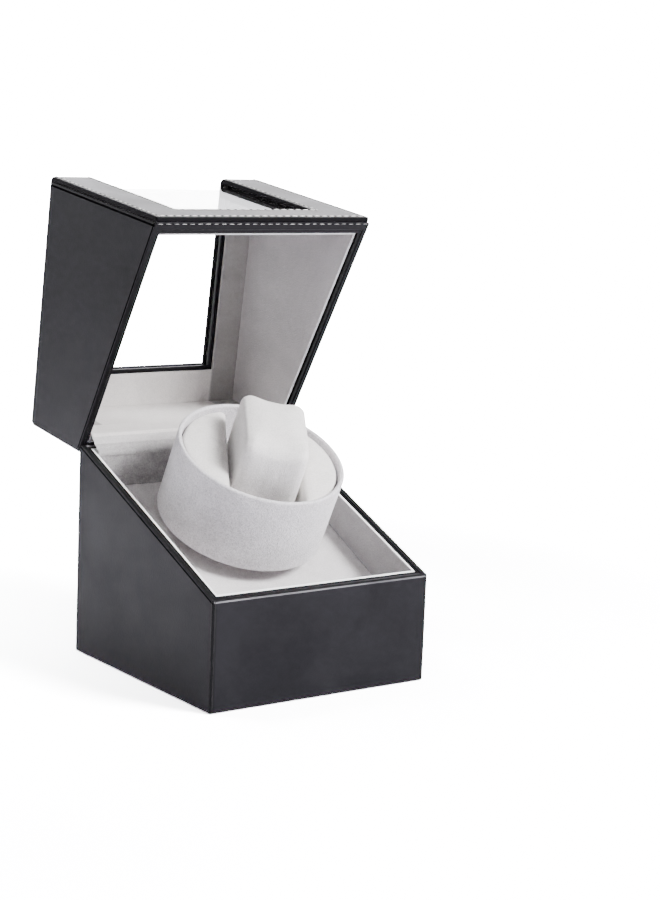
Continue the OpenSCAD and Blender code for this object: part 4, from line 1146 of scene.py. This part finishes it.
low = Vector((flap_reach, flap_low + flap_over))
high = Vector(swung(flap_reach, flap_high - flap_over))
across = high - low
outward = Vector((-across.y, across.x)).normalized()
flap_line = [(Vector((flap_reach, flap_low - flap_glued)), 0), (Vector((flap_reach, flap_low)), 0), (low, 0)]
for step in range(1, slack_steps):
    share = step / slack_steps
    crease = crease_depth * math.sin(share * math.pi * creases) * math.sin(math.pi * share)
    flap_line.append((low + across * share - outward * flap_sag * math.sin(math.pi * share), crease))
flap_line.append((high, 0))
for step in range(lid_steps + 1):
    flap_line.append((Vector(swung(flap_reach, flap_high + flap_on_lid * step / lid_steps)), 0))
cloth = bmesh.new()
stations = []
for place, crease in flap_line:
    stations.append(cloth.verts.new(hinge + Vector((flap_start.x - hinge.x, place.x * MM, place.y * MM))))
run = [cloth.edges.new(pair) for pair in zip(stations, stations[1:])]
flap_columns = 60
for column in range(flap_columns):
    run = carry_edge(cloth, run, vec=((flap_end.x - flap_start.x) / flap_columns, 0, 0))
for corner in cloth.verts:
    spot = (corner.co - hinge) / MM
    place, crease = min(flap_line, key=lambda station: (station[0] - spot.yz).length)
    from_left = (corner.co.x - flap_start.x) / (flap_end.x - flap_start.x)
    fade = 0.25 + 0.75 * (1 - from_left) ** 2
    slack = crease * fade * MM
    corner.co.y += outward.x * slack
    corner.co.z += outward.y * slack
bmesh.ops.recalc_face_normals(cloth, faces=cloth.faces)
# The lower half takes the back lining's painted shade, the band above a lighter painted shade, the rest
# none.
for face in cloth.faces:
    up_slope = ((face.calc_center_median() - hinge).yz / MM - low).dot(across) / across.length_squared
    face.material_index = int(up_slope < slack_shade_share) + int(up_slope < lining_shade_share)
flap_mesh = bpy.data.meshes.new("flap")
cloth.to_mesh(flap_mesh)
cloth.free()
flap_mesh.shade_smooth()
for velvet in (flap_velvet, slack_shade_velvet, joint_shade_velvet):
    flap_mesh.materials.append(velvet)
flap = bpy.data.objects.new("flap", flap_mesh)
scene.collection.objects.link(flap)
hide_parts("hinge_flap")
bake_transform(flap)

# Hinges, posts and bushes are plain brass, and screws, plates and shafts are bright steel.
# The plates are stamped, the posts turned and the screws rolled.
brass, tree, shader = plain_finish("plain_brass", (0.72, 0.55, 0.28), 0.35)
shader.inputs["Metallic"].default_value = 1.0
worn(tree, shader, 300, 4, 0.25, 0.5)
paint_nodes(["hinge_base_leaves", "hinge_lid_leaves", "hinge_pins", "spindle_bush", "plate_pillars"], brass)
steel, tree, shader = plain_finish("bright_steel", (0.62, 0.62, 0.64), 0.3)
shader.inputs["Metallic"].default_value = 1.0
worn(tree, shader, 400, 4, 0.2, 0.42)
steel_nodes = [name for name in frame["nodes"] if name.endswith("_screws")]
steel_nodes += ["upper_plate", "lower_plate", "idler_post", "motor"]
steel_nodes += ["motor_pinion", "spindle", "switch_shaft"]
paint_nodes(steel_nodes, steel)

# The gears are cast in natural plastic and the controls behind the case are moulded in black.
# The control board is green laminate, and its leads are covered in red plastic.
gear_plastic, tree, shader = plain_finish("gear_plastic", (0.78, 0.75, 0.68), 0.45)
worn(tree, shader, 500, 3, 0.38, 0.55)
paint_nodes(["idler_gear", "output_gear"], gear_plastic)
black_plastic, tree, shader = plain_finish("black_plastic", (0.02, 0.02, 0.022), 0.5)
orange_peel = noise(tree, 1800, 2)
tree.links.new(spread(tree, orange_peel, 0.3, 0.7, 0.42, 0.6), shader.inputs["Roughness"])
bump(tree, shader, orange_peel, 0.25, 0.0001)
paint_nodes(["drum_hub", "board_spacers", "mode_switch"], black_plastic)
moulded_round = 0.3 * MM
paint_nodes(["rear_plate", "mode_knob", "power_jack"], black_plastic, moulded_round)
laminate, tree, shader = plain_finish("green_laminate", (0.03, 0.16, 0.07), 0.4)
weave = noise(tree, 700, 2)
tree.links.new(tint(tree, weave, (0.025, 0.13, 0.06), (0.04, 0.2, 0.09)), shader.inputs["Base Color"])
paint_nodes(["control_board"], laminate)
insulation, tree, shader = plain_finish("lead_insulation", (0.35, 0.04, 0.04), 0.45)
worn(tree, shader, 600, 2, 0.4, 0.55)
paint_nodes(["motor_leads"], insulation)

# A sheet of black felt is glued under the case, so that it does not scratch what it stands on.
# It is cut to the size of the bottom board.
felt, tree, shader = plain_finish("black_felt", (0.02, 0.02, 0.021), 1.0)
wool = noise(tree, 1500, 5, 0.7)
tree.links.new(tint(tree, wool, (0.012, 0.012, 0.013), (0.04, 0.04, 0.042)), shader.inputs["Base Color"])
shader.inputs["Sheen Weight"].default_value = 0.3
bump(tree, shader, wool, 0.6, 0.0004)
paint_nodes(["bottom_felt"], felt)
